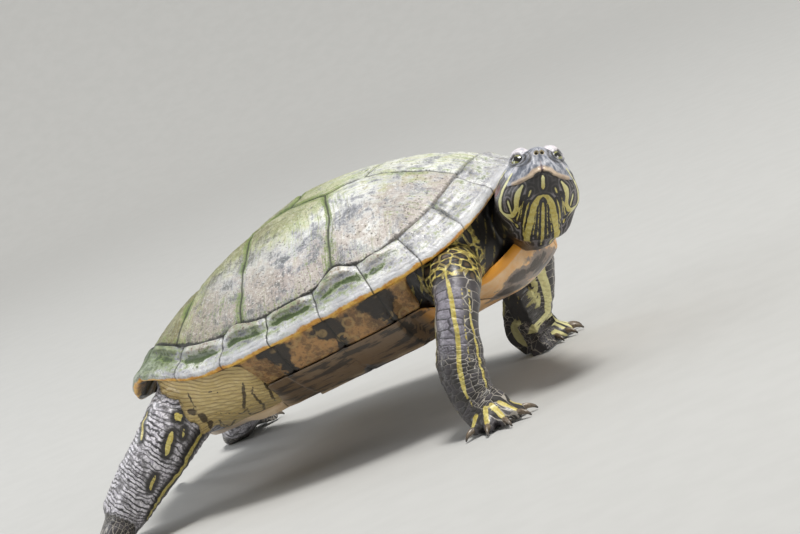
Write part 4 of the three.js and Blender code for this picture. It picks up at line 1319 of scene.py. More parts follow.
# Yellow stripes: width in mm, then places from front to back.
headStripes = [
    (2.9, [(13, 0, -13.5), (13.4, 1.3, -13.6), (14.8, 2.6, -13.8), (17, 3.6, -14.1), (20, 4.4, -14.5),
           (27, 5.5, -15.6), (34, 6.9, -16.3), (40, 7.6, -17), (48, 8.4, -22)]),
    (1.4, [(17, 0, -14.2), (24, 0, -15.3), (31, 0, -16.2), (40, 0, -17), (48, 0, -24)]),
    (0.5, [(17.5, 1.8, -14.2), (23.5, 1.9, -15.2), (31, 2.2, -16.2), (38, 2.6, -17)]),
    (0.5, [(22, 3.1, -14.9), (28, 3.5, -15.9), (34, 4.2, -16.5)]),
    (0.7, [(16, 6.2, -13.4), (19.3, 7.2, -13.9), (23.6, 7.9, -14.7), (29, 8.6, -15.6), (37, 9.4, -16.4)]),
    (0.9, [(10, 5.4, -12.1), (13.3, 6.4, -12.6)]),
    (1.5, [(3.6, 0, -10.9), (6.2, 0, -12), (9.6, 0, -12.9)]),
    (2.4, [(9, 8.9, -10.2), (13.3, 10.8, -10.4), (18.4, 11.8, -11.6), (23.4, 12.6, -12.8),
           (27, 14.5, -12.4), (28.4, 16.6, -10.2), (26.8, 18, -7)]),
    (1.7, [(9.3, 11.4, -2.4), (12, 13.1, -2.9), (17, 15.3, -3.4), (22.3, 17.2, -5), (26.3, 18.3, -7.4),
           (29.5, 18.2, -9.9), (31, 16, -13), (34, 12.5, -15.4)]),
    (1, [(18.9, 14.6, -8.2), (22, 15.1, -10.2), (24.8, 15.1, -11.8)]),
    (0.6, [(19, 10, -12.8), (24, 11, -13.8), (30, 12.6, -14.4)]),
    (0.4, [(13.5, 8.3, -13.2), (18, 9.4, -13.6), (23, 9.7, -14.2), (28, 10.6, -14.8)]),
    (1.2, [(12, 12.8, 3.2), (18, 15.6, 4.2), (26, 18, 4.6), (36, 18, 4)]),
    (0.7, [(24, 9.5, 12.2), (30, 9, 12.2), (42, 8, 11)]),
    (0.7, [(20, 3.2, 12), (26, 3.5, 12.3), (42, 3, 11.4)]),
]
perDegree = 10.5 / 57.3  # mm of skin round a limb for each degree
# Stripes on the limbs: width in mm, then places as along and angle.
limbStripes = {
    "foreRight": [(2.3, [(40, 99), (50, 96), (62, 88), (70, 89), (84, 92), (92, 101), (97, 110)]),
                  (1.5, [(46, 46), (62, 42), (72, 35), (86, 31), (98, 34)]),
                  (0.9, [(40, 160), (60, 164), (78, 168), (96, 170)]),
                  (0.7, [(46, 66), (58, 62), (66, 66), (80, 62)]),
                  (2, [(36, -40), (60, -50), (96, -60)])],
    "foreLeft": [(4.8, [(34, 72), (50, 70), (57, 58), (64, 45), (76, 32), (88, 20)]),
                 (3.2, [(50, 92), (57, 96), (62, 101), (68, 110), (73, 124), (77, 131), (84, 122),
                        (90, 128)]),
                 (2, [(60, 76), (66, 76), (72, 77), (84, 81)]),
                 (2.2, [(79, 98), (83, 80), (86, 65), (88, 74)]),
                 (1.6, [(54, 84), (62, 87), (70, 92), (76, 100)]),
                 (1.4, [(40, 150), (60, 158), (84, 160)]), (1.8, [(34, -60), (60, -70), (86, -80)])],
    "hindRight": [(2.6, [(36, -50), (45, -52), (53, -66), (66, -62), (82, -56)]),
                  (1.4, [(34, 130), (60, 125), (86, 120)])],
    "hindLeft": [(2.4, [(30, 50), (45, 52), (60, 62), (86, 56)]), (1.6, [(40, 8), (60, 18)]),
                 (1.4, [(34, -130), (60, -125), (86, -120)])],
}
# Dark scribbles in the groin and yellow marks on the right thigh: width, then x, side and z in the shell.
groinMarks = [
    (1.5, [(-29, 76, -11), (-32, 75, -14), (-33, 74, -17), (-42, 65, -23.5)]),
    (1.2, [(-27, 75, -15), (-30, 74, -18), (-32, 66.5, -22.4), (-34.6, 60, -26), (-41.5, 48, -30),
           (-48, 50, -29.5), (-44.4, 57.2, -27.5), (-41, 64, -24)]),
    (1.2, [(-21.5, 74, -15), (-24, 69, -21), (-28.5, 60, -26), (-30, 56, -28)]),
    (1, [(-52, 71, -19.6), (-47.6, 66, -22.5), (-45.4, 61, -25), (-40, 65, -23.6)]),
    (1.1, [(-55.7, 66, -22), (-59, 58, -26), (-62, 48, -30), (-58, 51, -29), (-52, 57, -27),
           (-55, 56, -27)]),
    (1, [(-62.3, 74, -2.5), (-60.6, 76.3, -7.4), (-58.5, 74.6, -13)]),
    (1, [(-57.2, 75.6, -5.1), (-57.4, 73.1, -11.5), (-57.2, 72.9, -14.1)]),
    (1.3, [(-46.4, 76.2, -8.9), (-45.8, 76.2, -9)]), (1.1, [(-43.4, 76.3, -10), (-42.9, 76.3, -10.1)]),
    (5, [(-62, 77.8, -13), (-60, 73.5, -19), (-61, 66, -25)]),
]
thighMarks = [
    (4.6, [(-64.3, 81.8, -13.6), (-66, 82.4, -13.2)]),
    (2.4, [(-69.5, 86.2, -17.1), (-72.5, 88, -21), (-76.6, 89.7, -25.7)]),
    (1.2, [(-66.4, 82.1, -18.3), (-68, 83, -22)]),
    (1.6, [(-84.6, 93.2, -31.5), (-87, 94, -33.3), (-90, 94.8, -35.9)]),
    (2, [(-82, 78, -4), (-84, 82, -9), (-84, 88, -15)]),
]


def mirrored(h):
    # The same place on the head's left side.
    return together(h[:, 0], np.abs(h[:, 1]), h[:, 2])


def eyeFrame(side):
    # The eye's middle over the floor and its axes: out along the gaze, backwards, and up.
    ahead, out, up = head["gaze"]
    middle = fromHead((head["eyeAt"][0], side * head["eyeAt"][1], head["eyeAt"][2]))
    gaze = unit(headForward * ahead + headLeft * out * side + headUp * up)
    rise = unit(headUp - gaze * (headUp @ gaze))
    behind = np.cross(rise, gaze) * side
    tilt = math.radians(face["openTilt"])
    cos, sin = math.cos(tilt), math.sin(tilt)
    behind, rise = behind * cos - rise * sin, rise * cos + behind * sin
    return middle, gaze, behind, rise


def openLids(p):
    # Round each eye the skin keeps a lid's thickness over the ball, and inside the slit it sinks behind.
    slit = np.full(len(p), 9.0)
    radius = head["eyeRadius"]
    for side in (1, -1):
        middle, gaze, behind, rise = eyeFrame(side)
        off = p - middle
        far = lengths(off)
        way = off / np.maximum(far, 1e-6)[:, None]
        level, height = way @ behind, way @ rise
        turn = np.degrees(np.arccos(np.clip(way @ gaze, -1, 1)))
        around = np.arctan2(height, level)
        reach = 1 / np.hypot(np.cos(around) / face["openWide"], np.sin(around) / face["openTall"])
        q = turn / reach
        near = (far < 10.5) & (q < 3.2)
        brow = ease(0.0, 0.5, (off @ headUp) / np.maximum(far, 1e-6)) * bell(q, 1.75, 0.6)
        lidRadius = radius + face["lid"] * (1 + 0.35 * bell(q, 1.16, 0.14)) + face["brow"] * brow
        over = np.maximum(far, lidRadius)
        fade = ease(2.9, 1.7, q)
        crease = 0.22 * np.sin((q - 1.1) * 11) * bell(q, 1.75, 0.5) * (0.35 + 0.65 * (height < 0.1))
        wanted = np.where(far < 9, far + (lidRadius - far) * fade * 0.9 + crease, far)
        wanted = np.maximum(wanted, np.minimum(over, lidRadius + 6))
        inside = ease(1.12, 0.96, q)
        wanted = wanted * (1 - inside) + (radius - 1.3) * inside
        p = np.where(near[:, None], middle + way * wanted[:, None], p)
        upper = ease(-0.05, 0.3, (off @ headUp) / np.maximum(far, 1e-6))
        slit = np.where(near, np.minimum(slit, q + 1.2 * upper * (q > 1.12)), slit)
    return p, slit


def nostrilDistance(m):
    # Across the snout's tip, and far away behind it.
    aside, up = face["nostril"]
    return np.hypot(m[:, 1] - aside, m[:, 2] - up) + 9 * (m[:, 0] > 3)


def mouthPlace(m):
    # Distance to the mouth's line, and height over it.
    line = np.array(face["mouth"], float)
    d, _ = lineDistance(m, line)
    return d, m[:, 2] - np.interp(m[:, 0], line[:, 0], line[:, 2])


def headRelief(h, share):
    # Sunk mouth line under an overhanging beak, nostrils, a groove down the snout, folds on the throat.
    m = mirrored(h)
    d, above = mouthPlace(m)
    ahead = ease(17, 12, m[:, 0])
    relief = -0.95 * bell(d, 0, 0.5) * (0.35 + 0.65 * ahead)
    relief += np.where(above > 0, 0.45 * bell(d, 1.0, 0.8), -0.42 * bell(d, 1.0, 1.1)) * ahead
    nose = lengths(m - face["nose"])
    relief += face["noseRise"] * bell(nose, 0, face["noseWidth"])
    hole = nostrilDistance(m)
    relief += 0.25 * bell(hole, 1.15, 0.4) - face["nostrilDepth"] * bell(hole, 0, face["nostrilWidth"])
    slim = ease(14, 24, m[:, 0]) * ease(-5, -12, m[:, 2]) * ease(6, 12, m[:, 1])
    jowl = ease(24, 34, m[:, 0]) * ease(3, -9, m[:, 2]) * ease(3, 11, m[:, 1])
    relief = relief - 2.2 * slim - 1.6 * jowl
    philtrum = bell(m[:, 1], 0, 0.9) * ease(-0.8, -3, m[:, 2]) * ease(2.6, 1.5, m[:, 0])
    relief -= 0.45 * philtrum * ease(-9.6, -7.5, m[:, 2])
    relief += 0.35 * bell(m[:, 1], 3.4, 1.6) * bell(m[:, 2], -5, 2.6) * (m[:, 0] < 4)
    drum = lengths((m - face["ear"]) * (1, 0.4, 1))
    relief = relief - 0.55 * bell(drum, 0, 2.6) + 0.3 * bell(drum, 4.2, 1.1)
    throat = ease(22, 30, m[:, 0]) * ease(-9, -13, m[:, 2])
    relief += 0.3 * throat * np.sin(m[:, 0] * 1.9 + 2.0 * soft(h, 6, 91))
    relief += 0.22 * layered(h, 5, 3, 92)
    return relief * share


def ontoSurface(line, m):
    # The line laid on the surface: its nearest points of m, each the mean of the last three.
    ends = np.array(line, float)
    reach = runAlong(ends)
    at = np.linspace(0, reach[-1], max(3, int(reach[-1] / 1.1)))
    spots = rowsAt(at, reach, ends)
    nearest = np.array([np.argmin(((m - spot) ** 2).sum(1)) for spot in spots])
    laid = m[nearest]
    laid[1:-1] = (laid[:-2] + laid[1:-1] + laid[2:]) / 3
    laid[:, 1] = np.where(spots[:, 1] < 0.3, 0, laid[:, 1])
    return laid


def stripeField(m, stripes, seed):
    # Distance in mm from the edge of the nearest stripe, below 0 inside it, with a hand-drawn wobble.
    field = np.full(len(m), 30.0)
    wobble = 0.16 * soft(m, 2.6, seed) + 0.1 * soft(m, 1.1, seed + 1)
    for width, line in stripes:
        line = np.array(line, float)
        d, along = lineDistance(m, line)
        total = runAlong(line)[-1]
        taper = np.minimum(1, 0.45 + 1.6 * np.minimum(along, total - along) / max(total, 1) * 2)
        field = np.minimum(field, d - width / 2 * taper + wobble)
    return field


def laidStripes(points, table, seed):
    # The field of a table of lines that are first laid on the surface.
    return stripeField(points, [(width, ontoSurface(line, points)) for width, line in table], seed)


def headMarks(m, headShare):
    # How strongly each marking of the head shows: the grey beak, its tan edge, the groove under the nose
    # with its painted shade, the red ear patch, the pale crown, partly painted light from above, and the
    # bright stripes, painted paler above the chin as light from above, and where its creases and openings
    # are.
    back, aside, up = m.T
    mouthD, above = mouthPlace(m)
    beak = headShare * ease(-0.2, 0.5, above) * ease(15, 11.5, back - 0.6 * np.maximum(up - 3, 0))
    tan = ease(-0.3, 0.1, above) * ease(3.3, 0.6, mouthD - 1.5 * bell(aside, 3.6, 2.8))
    tan *= headShare * ease(12.5, 9.5, back)
    # Painted shade down the groove under the nose.
    groove = headShare * bell(aside, 0, 0.7) * ease(-2.6, -4.2, up) * ease(-9.9, -9.0, up)
    groove *= (back < 4) * (0.6 + 0.4 * ease(-5.5, -7.5, up))
    below = -1.0 - up  # a dark triangle that widens downwards from between the nostrils
    noseDark = headShare * (back < 5) * ease(0.4, -0.3, aside - 0.5 * below)
    noseDark *= ease(-0.4, 0.5, below) * ease(4.6, 2.8, below)
    rayAngle = np.arctan2(aside, 3.0 - up) * 5.5
    rays = together(rayAngle, lengths(m) * 0.16, back * 0.1)
    red = headShare * bell(back, 23, 5.5) * bell(up, 1.4, 1.9) * (aside > 8)
    brow = lengths(m - np.add(head["eyeAt"], (0, -1, 5)))
    # The top of the head is paler, partly painted light from above.
    litTop = ease(6.5, 9, up) * (back > 3) * 0.55
    crown = headShare * np.maximum(litTop, bell(brow, 0, 7.0)) * ease(21, 14, back)
    # Painted light: stripes paler above the chin; on the chin, which lies in shade, they stay plain.
    pale = headShare * ease(-13.6, -9, up + 0.25 * np.maximum(10 - back, 0) * (aside < 3))
    chin = headShare * ease(8.4, 6.6, aside) * ease(13.5, 11.5, back) * (up < -8)
    return {
        "beak": beak, "tan": tan, "red": red, "crown": crown, "groove": groove, "noseDark": noseDark,
        "mouth": np.minimum(mouthD, 9), "nostril": np.minimum(nostrilDistance(m), 9), "rays": rays,
        "pale": pale, "chin": chin,
    }


def skinValues(p):
    # What the finish needs at each point: where it is on its limb, how strong each kind of skin is there,
    # and the share of the head's own forms.
    s, h = inShell(p), inHead(p)
    m = mirrored(h)
    wide, top, bottom = headSize(h[:, 0])
    middle = (top + bottom) / 2
    ellipse = np.hypot(h[:, 1] / (wide + 2.5), (h[:, 2] - middle) / ((top - bottom) / 2 + 2.5))
    headShare = ease(1.25, 1.02, ellipse) * ease(42, 33, h[:, 0]) * (h[:, 0] > -6)
    form = headShare
    headShare = np.maximum(headShare, ease(10.5, 8.5, lengths(m - head["eyeAt"])))
    throatD, _ = lineDistance(p, [row[:3] for row in throat["stations"]])
    headShare = np.maximum(headShare, ease(17, 15, throatD) * (h[:, 2] < -9) * (h[:, 0] > 15))
    scaleSpace = s / 2.6
    stripe = np.full(len(p), 30.0)
    limbShare, footShare, hindShare, shoulder, paintedSheen, bare, far = np.zeros((7, len(p)))
    tailSpot = limbPlace(p, tail)
    onTail = (tailSpot["share"] < 1.5) & (p[:, 0] < -96)
    for name, limb in limbs.items():
        spot = limbPlace(p, limb)
        along, angle = spot["along"], spot["angle"]
        own = ease(1.7, 1.25, spot["share"])
        own = np.where(along > limb["fromBody"] + 40, (spot["share"] < 8.5).astype(float), own)
        own *= ease(limb["fromBody"] - 12, limb["fromBody"], along) * (1 - onTail)
        hind = "hind" in name
        if hind:
            border = -62 - 1.6 * np.maximum(s[:, 2] + 6, 0) + 2.0 * soft(p, 6, 30)
            own *= np.where(along < 60, ease(1.5, -1.5, s[:, 0] - border), 1)
        else:
            own *= np.where(along < 58, ease(64, 70, s[:, 0]), 1)
        ahead = own > np.maximum(limbShare, 0.3)
        bound, (wideFine, longFine), (wide, long) = limb["platesTo"], limb["scale"], limb["plates"]
        rows = np.minimum(along, bound) / long + np.maximum(along - bound, 0) / longFine
        width = np.where(along < bound, wide, wideFine)
        wrap = together(spot["wide"] / width, spot["deep"] / width, rows)
        scaleSpace = np.where(ahead[:, None], wrap, scaleSpace)
        lines = [(w, [(a, g * perDegree, 0) for a, g in line]) for w, line in limbStripes[name]]
        field = stripeField(together(along, angle * perDegree, 0), lines, 31)
        stripe = np.where(ahead, field, stripe)
        limbShare = np.maximum(limbShare, own)
        toes = ease(0, 5, along - limbLength(limb) + 9)
        footShare = np.where(ahead, toes, footShare)
        if hind:
            hindShare = np.where(ahead, 1, hindShare)
        else:
            near = ease(0.46, 0.36, along / limbLength(limb) + 0.03 * soft(p, 7, 47))
            shoulder = np.where(ahead, near, shoulder)
        # Painted light: the far fore leg's stripes paler, as if lit.
        if name == "foreLeft":
            far = np.where(ahead, 0.8, far)
        if name == "foreRight":
            # Where the painted highlight lies: the upper front of this fore leg.
            outer = ease(56, 74, angle) * ease(160, 140, angle)
            paintedSheen = np.where(ahead, outer * ease(42, 50, along) * ease(78, 68, along), paintedSheen)
            bare = np.where(ahead, ease(100, 114, angle) * ease(74, 82, along), bare)
        x, y = limb["foot"][1][:2]
        for tip in limb["toes"]:
            start = (x * 0.75 + tip[0] * 0.25, y * 0.75 + tip[1] * 0.25, 11)
            toeLine = [start, ((x + tip[0]) / 2, (y + tip[1]) / 2, 9.5), (*tip, limb["toeRadius"] + 2)]
            d, _ = lineDistance(p, toeLine)
            stripe = np.where(ahead, np.minimum(stripe, d - 1.25 + 0.3 * soft(p, 2, 33)), stripe)
    quarter = tailSpot["angle"] / 90 + 0.5  # four thin stripes along the tail
    tailLine = (fromWhole(quarter) * 1.57 - 0.16) * tailSpot["radius"]
    stripe = np.where(onTail & (tailSpot["radius"] > 2.2), tailLine, stripe)
    onHead = headShare > 0.3
    stripe[onHead] = laidStripes(m[onHead], headStripes, 35)
    side = mirrored(s)
    x, wide, z = side.T
    groin = (x > -72) & (x < -14) & (wide > 35) & (z < 4)
    scribble = np.full(len(p), 30.0)
    scribble[groin] = laidStripes(side[groin], groinMarks, 36)
    thigh = (x > -100) & (x < -58) & (s[:, 1] < -60)
    stripe[thigh] = np.minimum(stripe[thigh], laidStripes(side[thigh], thighMarks, 34))
    creamRow = (z + 0.4 * x + 2.2 * soft(s, 15, 45) + 0.7 * soft(s, 6, 46)) / 1.9
    spot = limbPlace(p, neck)
    onNeck = ease(1.5, 1.15, spot["share"]) * (1 - headShare) * (x > 76)
    count, radius = 20, 19  # thin stripes round the neck
    part = spot["angle"] / 360 * count + 0.5 * soft(p, 13, 37)
    neckLine = fromWhole(part) * 2 * np.pi * radius / count - 0.6 - 0.9 * soft(p, 7, 38)
    stripe = np.where((onNeck > 0.4) & (headShare <= 0.3), neckLine + 0.8, stripe)
    pocket = (1 - limbShare) * (1 - headShare)
    rows = (0.87 * p[:, 0] - 0.31 * np.abs(p[:, 1]) - 0.38 * p[:, 2]) / 4.2 + 0.5 * soft(s, 11, 39)
    pocketLine = fromWhole(rows) * 4.2 - 0.2 - 0.7 * soft(s, 5, 40)
    sideNeck = ease(14, 18, np.abs(p[:, 1] - np.interp(p[:, 0], (94, 114), (-4, -20))))
    stripe = np.where((pocket > 0.5) & (x > 48) & (sideNeck > 0.5), pocketLine, stripe)
    chest = pocket * ease(68, 74, x) * ease(36, 42, wide)  # beside a fore leg
    # Painted shade: stripes dulled in the pockets under the shell, most near the middle line.
    pocketShade = pocket * (0.85 - 0.25 * ease(35, 50, wide))
    stripe = np.where(chest > 0.5, 30, stripe)
    low = 0.6 * np.maximum(-z - 16, 0)  # further in towards the belly
    cream = pocket * (1 - onTail) * ease(30, 10, x) * ease(22, 34, wide + low)
    values = headMarks(m, headShare)
    # The far fore leg's painted light joins the head's.
    values["pale"] = np.maximum(values["pale"], far)
    values.update({
        "headShare": headShare, "limbShare": limbShare, "footShare": footShare, "hindShare": hindShare,
        "stripe": np.clip(stripe, -3, 30), "blotchy": shoulder + chest, "paintedSheen": paintedSheen,
        "bare": bare, "pocketShade": np.clip(pocketShade, 0, 1), "cream": np.clip(cream, 0, 1), "creamRow": creamRow,
        "scribble": scribble, "scaleSpace": scaleSpace, "shellSpace": s,
    })
    return values, form


def limbLength(limb):
    # The run of straight pieces from the shoulder or the hip to the palm.
    path = np.array([row[:3] for row in limb["stations"] + limb["foot"]], float)
    return runAlong(path)[-1]


def skinRelief(p, v, form):
    # Folds across the limbs and the throat, wrinkles on the groin, and the head's own forms.
    s = v["shellSpace"]
    relief = headRelief(inHead(p), form)
    body = 1 - form
    folds = np.sin(v["scaleSpace"][:, 2] * 1.9 + 4.5 * soft(p, 11, 95)) * (0.6 + 0.6 * soft(p, 9, 94))
    relief += 0.3 * folds * v["limbShare"] * (1 - v["footShare"]) * body
    relief += 0.45 * layered(p, 8, 3, 96) * body * (1 - 0.6 * v["footShare"])
    wrinkles = np.sin(s[:, 2] * 2.6 + 1.5 * soft(s * (0.4, 0.4, 1), 6, 97))
    return relief + 0.3 * wrinkles * v["cream"]


def makeSkin():
    # The remeshed flesh moved along its normals by the relief, opened at the eyes and kept in the shell.
    mesh = fleshMesh()
    p = keepInShell(readPoints(mesh) / metres + frameShift)
    values, form = skinValues(p)
    p += readPoints(mesh, "normal") * skinRelief(p, values, form)[:, None]
    p, slit = openLids(p)
    p = keepInShell(p)
    p[:, 2] = np.maximum(p[:, 2], 0)
    values["slit"] = slit
    mesh.vertices.foreach_set("co", ((p - frameShift) * metres).astype(np.float32).ravel())
    writeValues(mesh, values)
    mesh.polygons.foreach_set("use_smooth", np.full(len(mesh.polygons), True))
    mesh.update()
    return mesh


skinColours = {
    "olive": (0.02, 0.017, 0.015), "blackAndShade": (0.006, 0.005, 0.005), "net": (0.42, 0.385, 0.33),
    "slate": (0.055, 0.048, 0.055), "paintedSheen": (0.3, 0.28, 0.33), "paintedGlare": (0.68, 0.66, 0.7),
    "yellow": (0.45, 0.35, 0.055), "paleYellow": (0.58, 0.51, 0.17), "litLemon": (0.78, 0.76, 0.4),
    "shadedYellow": (0.12, 0.09, 0.028), "brown": (0.085, 0.055, 0.028), "line": (0.24, 0.215, 0.225),
    "cream": (0.58, 0.435, 0.17), "paleCream": (0.7, 0.57, 0.29), "creaseShade": (0.3, 0.185, 0.085),
    "ink": (0.04, 0.026, 0.018), "pearl": (0.44, 0.45, 0.5), "steel": (0.105, 0.12, 0.16),
    "bloom": (0.72, 0.67, 0.71), "dusk": (0.012, 0.01, 0.01), "tan": (0.5, 0.39, 0.28),
    "rose": (0.34, 0.24, 0.2), "red": (0.13, 0.02, 0.01), "grooveShade": (0.075, 0.028, 0.034),
    "ochre": (0.3, 0.22, 0.06), "lid": (0.03, 0.027, 0.024),
}


def limbSkin(f, broad, mid, fine, edgeGap, base):
    # Dark plates with pale edges on the fore legs, lighter on their upper front by a painted highlight; on
    # the hind legs dark skin with dark creases, pale grey in patches, partly the skin's own grey and partly
    # painted glare of wet skin.
    scales, stripe, hindShare = f.value("scaleSpace", vector=True), f.value("stripe"), f.value("hindShare")
    tint = f.cells(scales, 1, "F1", "Color", 0.6)
    plate = f.mix(f.step(tint, 0.2, 0.9), "olive", "slate")
    # Painted highlight: the plates lighter on the fore leg's upper front.
    plate = f.mix(f.value("paintedSheen") * f.step(fine, 0.3, 0.6, 0.5, 1), plate, "paintedSheen")
    base = f.mix(f.value("limbShare") * 0.85, base, plate)
    gap = edgeGap + mid * 0.05 - f.value("paintedSheen") * 0.035
    net = f.step(gap, 0.075, 0.045) * f.value("limbShare")
    net *= f.step(broad, 0.3, 0.6, 0.4, 0.9) * f.step(f.value("bare"), 0.1, 0.8, 1, 0.12)
    base = f.mix(net, base, f.mix(f.step(f.value("paintedSheen"), 0.2, 0.6), "net", "blackAndShade"))
    warp = f.noise(f.place(), 60, 2) * 22 + f.noise(f.place(), 220, 3) * 10
    creases = f.step(f.sum("SINE", f.split(scales)[2] * 5 + warp), 0.1, 0.75)
    # Painted glare of wet skin on the hind legs, in pale grey patches over the dark skin.
    glarePatches = f.step(mid + broad * 0.6, 0.66, 0.84, 0.3, 1) * f.step(stripe, 1.2, 3.6)
    hideAndGlare = f.mix(f.step(fine, 0.32, 0.6), "paintedSheen", "paintedGlare")
    hideAndGlare = f.mix(glarePatches, "olive", hideAndGlare)
    hideAndGlare = f.mix(creases * f.step(broad, 0.35, 0.6, 0.5, 0.95), hideAndGlare, "blackAndShade")
    return f.mix(hindShare * f.step(f.value("footShare"), 0.6, 0.2), base, hideAndGlare), creases


def snoutSkin(f, broad, mid, base, onStripe):
    # Blue grey with creases that radiate from the nose, pale pink brows, partly painted light from
    # above, a soft tan edge to the beak, and painted shade in the nostrils, along the mouth line and in the
    # groove under the nose.
    rays = f.noise(f.value("rays", vector=True), 1, 3, 0.6)
    snout = f.mix(f.step(mid * 0.4 + rays * 0.6, 0.4, 0.58), "steel", "pearl")
    snout = f.over(snout, "bloom", rays * 0.7 + mid * 0.3, 0.56, 0.63, 0.6)
    beakField = f.value("beak") + (mid - 0.5) * 0.6
    base = f.mix(f.step(beakField, 0.4, 0.65) * f.step(onStripe, 0.9, 0.5), base, snout)
    # The crown and brows pale, partly painted light from above.
    crown = f.mix(f.step(mid * 0.6 + broad * 0.4, 0.4, 0.52), "pearl", "bloom")
    base = f.over(base, crown, f.value("crown"), 0.25, 0.7)
    tanTone = f.mix(f.step(rays, 0.48, 0.62) * 0.5, "tan", "rose")
    tanField = f.value("tan") + (mid - 0.5) * 0.7 + (rays - 0.5) * 1.2
    base = f.over(base, tanTone, tanField, 0.2, 0.85)
    base = f.mix(f.value("noseDark") * 0.85, base, "steel")
    # Painted shade: dark in the groove under the nose.
    base = f.over(base, "grooveShade", f.value("groove"), 0.25, 0.85, 0.9)
    base = f.over(base, "ochre", f.value("nostril"), 1.35, 0.85, 0.75)
    # Painted shade: very dark inside the nostrils.
    base = f.over(base, "blackAndShade", f.value("nostril"), 0.85, 0.5, 0.95)
    # Painted shade along the sunk mouth line.
    mouthShadeLine = f.step(f.value("mouth"), 0.5, 0.22) * f.value("headShare")
    return f.mix(mouthShadeLine * 0.95, base, "blackAndShade")


def skinFinish():
    # Limbs as above, yellow stripes over them, dulled by painted shade in the pockets under the shell, dark
    # rounded blotches on yellow at the shoulders, cream folded skin in the groin with painted shade along
    # its creases, and thin grey lines along the head's stripes.
    f = Finish("turtleSkin", skinColours,
               Roughness=0.5, Coat_Weight=0.4, Coat_Roughness=0.28, Specular_IOR_Level=0.5)
    place, s = f.place(), f.value("shellSpace", vector=True)
    headShare, hindShare, stripe = f.value("headShare"), f.value("hindShare"), f.value("stripe")
    broad, mid, fine = f.noise(place, 90, 4, 0.6), f.noise(place, 320, 4, 0.65), f.noise(place, 900, 3, 0.6)
    edgeGap = f.cells(f.value("scaleSpace", vector=True), 1, "DISTANCE_TO_EDGE", randomness=0.6)
    base = f.mix(f.step(broad, 0.35, 0.65), "blackAndShade", "olive")
    base, creases = limbSkin(f, broad, mid, fine, edgeGap, base)
    spotGap = f.cells(f.stretch(s, (0.21, 0.21, 0.165)), 1, "DISTANCE_TO_EDGE")
    spotGap += (mid - 0.5) * 0.22 + (broad - 0.5) * 0.25
    spots = f.mix(f.step(spotGap, 0.22, 0.42), "blackAndShade", "brown")
    gaps = f.mix(f.step(fine, 0.4, 0.6), "yellow", "paleYellow")
    gaps = f.over(gaps, "brown", mid, 0.56, 0.48, 0.7)
    spots = f.over(spots, gaps, spotGap, 0.13, 0.08)
    base = f.over(base, spots, f.value("blotchy") + (mid - 0.5) * 0.8, 0.4, 0.6)
    stripeEdge = stripe + (mid - 0.5) * 0.5
    yellow = f.mix(f.step(fine * 0.5 + mid * 0.5, 0.38, 0.6), "yellow", "paleYellow")
    # Painted light: stripes paler above the chin and on the far fore leg.
    yellow = f.mix(f.value("pale") * 0.85, yellow, "litLemon")
    # Painted shade dulls the stripes in the pockets under the shell.
    yellow = f.mix(f.value("pocketShade"), yellow, "shadedYellow")
    onStripe = f.step(stripeEdge, 0.14, -0.14)
    base = f.mix(headShare * 0.85, base, "dusk")
    base = f.mix(onStripe * 0.95, base, yellow)
    nearLine = f.step(stripe, 1, 1.3) * f.step(stripe, 2, 1.65)
    farLine = f.step(stripe, 2.9, 3.2) * f.step(stripe, 4, 3.65)
    thinLines = (nearLine + farLine * 0.9) * f.step(fine, 0.25, 0.6, 0.5, 1)
    thinLines *= f.step(headShare, 0.4, 0.6) * f.step(f.value("chin"), 0, 1, 0.8, 0.12)
    base = f.mix(thinLines, base, "line")
    base = f.over(base, "red", f.value("red"), 0.35, 0.6, 0.8)
    foldLine = f.sum("SINE", f.value("creamRow") * 6.283)
    groin = f.mix(f.step(broad * 0.5 + mid * 0.5, 0.4, 0.62, 0, 0.7), "cream", "paleCream")
    # Painted shade along the groin's creases.
    groin = f.mix(f.step(foldLine, 0.55, 0.95) * f.step(mid, 0.35, 0.6, 0.2, 0.75), groin, "creaseShade")
    scribbleLine = f.step(f.value("scribble") + fine - 0.5, 0.25, -0.15)
    groin = f.mix(scribbleLine * 0.88, groin, "ink")
    creamField = f.value("cream") + (mid - 0.5) * 0.5
    base = f.over(base, groin, creamField, 0.4, 0.6)
    base = snoutSkin(f, broad, mid, base, onStripe)
    lidWrinkle = f.step(f.sum("SINE", f.value("slit") * 26), -0.4, 0.6, 0.45, 1)
    lidDark = f.step(f.value("slit") + mid * 0.3, 2.05, 1.5)
    base = f.mix(lidDark * lidWrinkle * 0.9, base, "lid")
    scaleRise = f.step(edgeGap, 0, 0.28) * f.value("limbShare") * f.step(hindShare, 0.9, 0.1)
    wrinkle = f.step(foldLine, 0.2, 0.95) * f.value("cream") + creases * hindShare
    grain = scaleRise + mid * 0.5 + fine * 0.35 - wrinkle * 0.8
    rough = f.step(mid, 0.3, 0.7, 0.36, 0.6)
    return f.wear(base, rough, f.bump(grain, 0.45, 0.8))


fleshNodes = ["trunk", "head", "lower_jaw", "neck", "tail"]
fleshNodes += [limb["node"] + "_" + part for limb in limbs.values() for part in ("upper", "lower", "foot")]
placePiece("skin", makeSkin(), skinFinish(), "skin", *fleshNodes)


eyes = {
    "rings": 60, "sides": 96, "pupil": 17, "iris": 44,  # degrees from the gaze
    "bulge": 0.03, "bulgeSpread": 0.5,
    "gold": (0.37, 0.36, 0.13), "green": (0.12, 0.125, 0.045), "dark": (0.01, 0.009, 0.006),
    "white": (0.16, 0.15, 0.11),
}


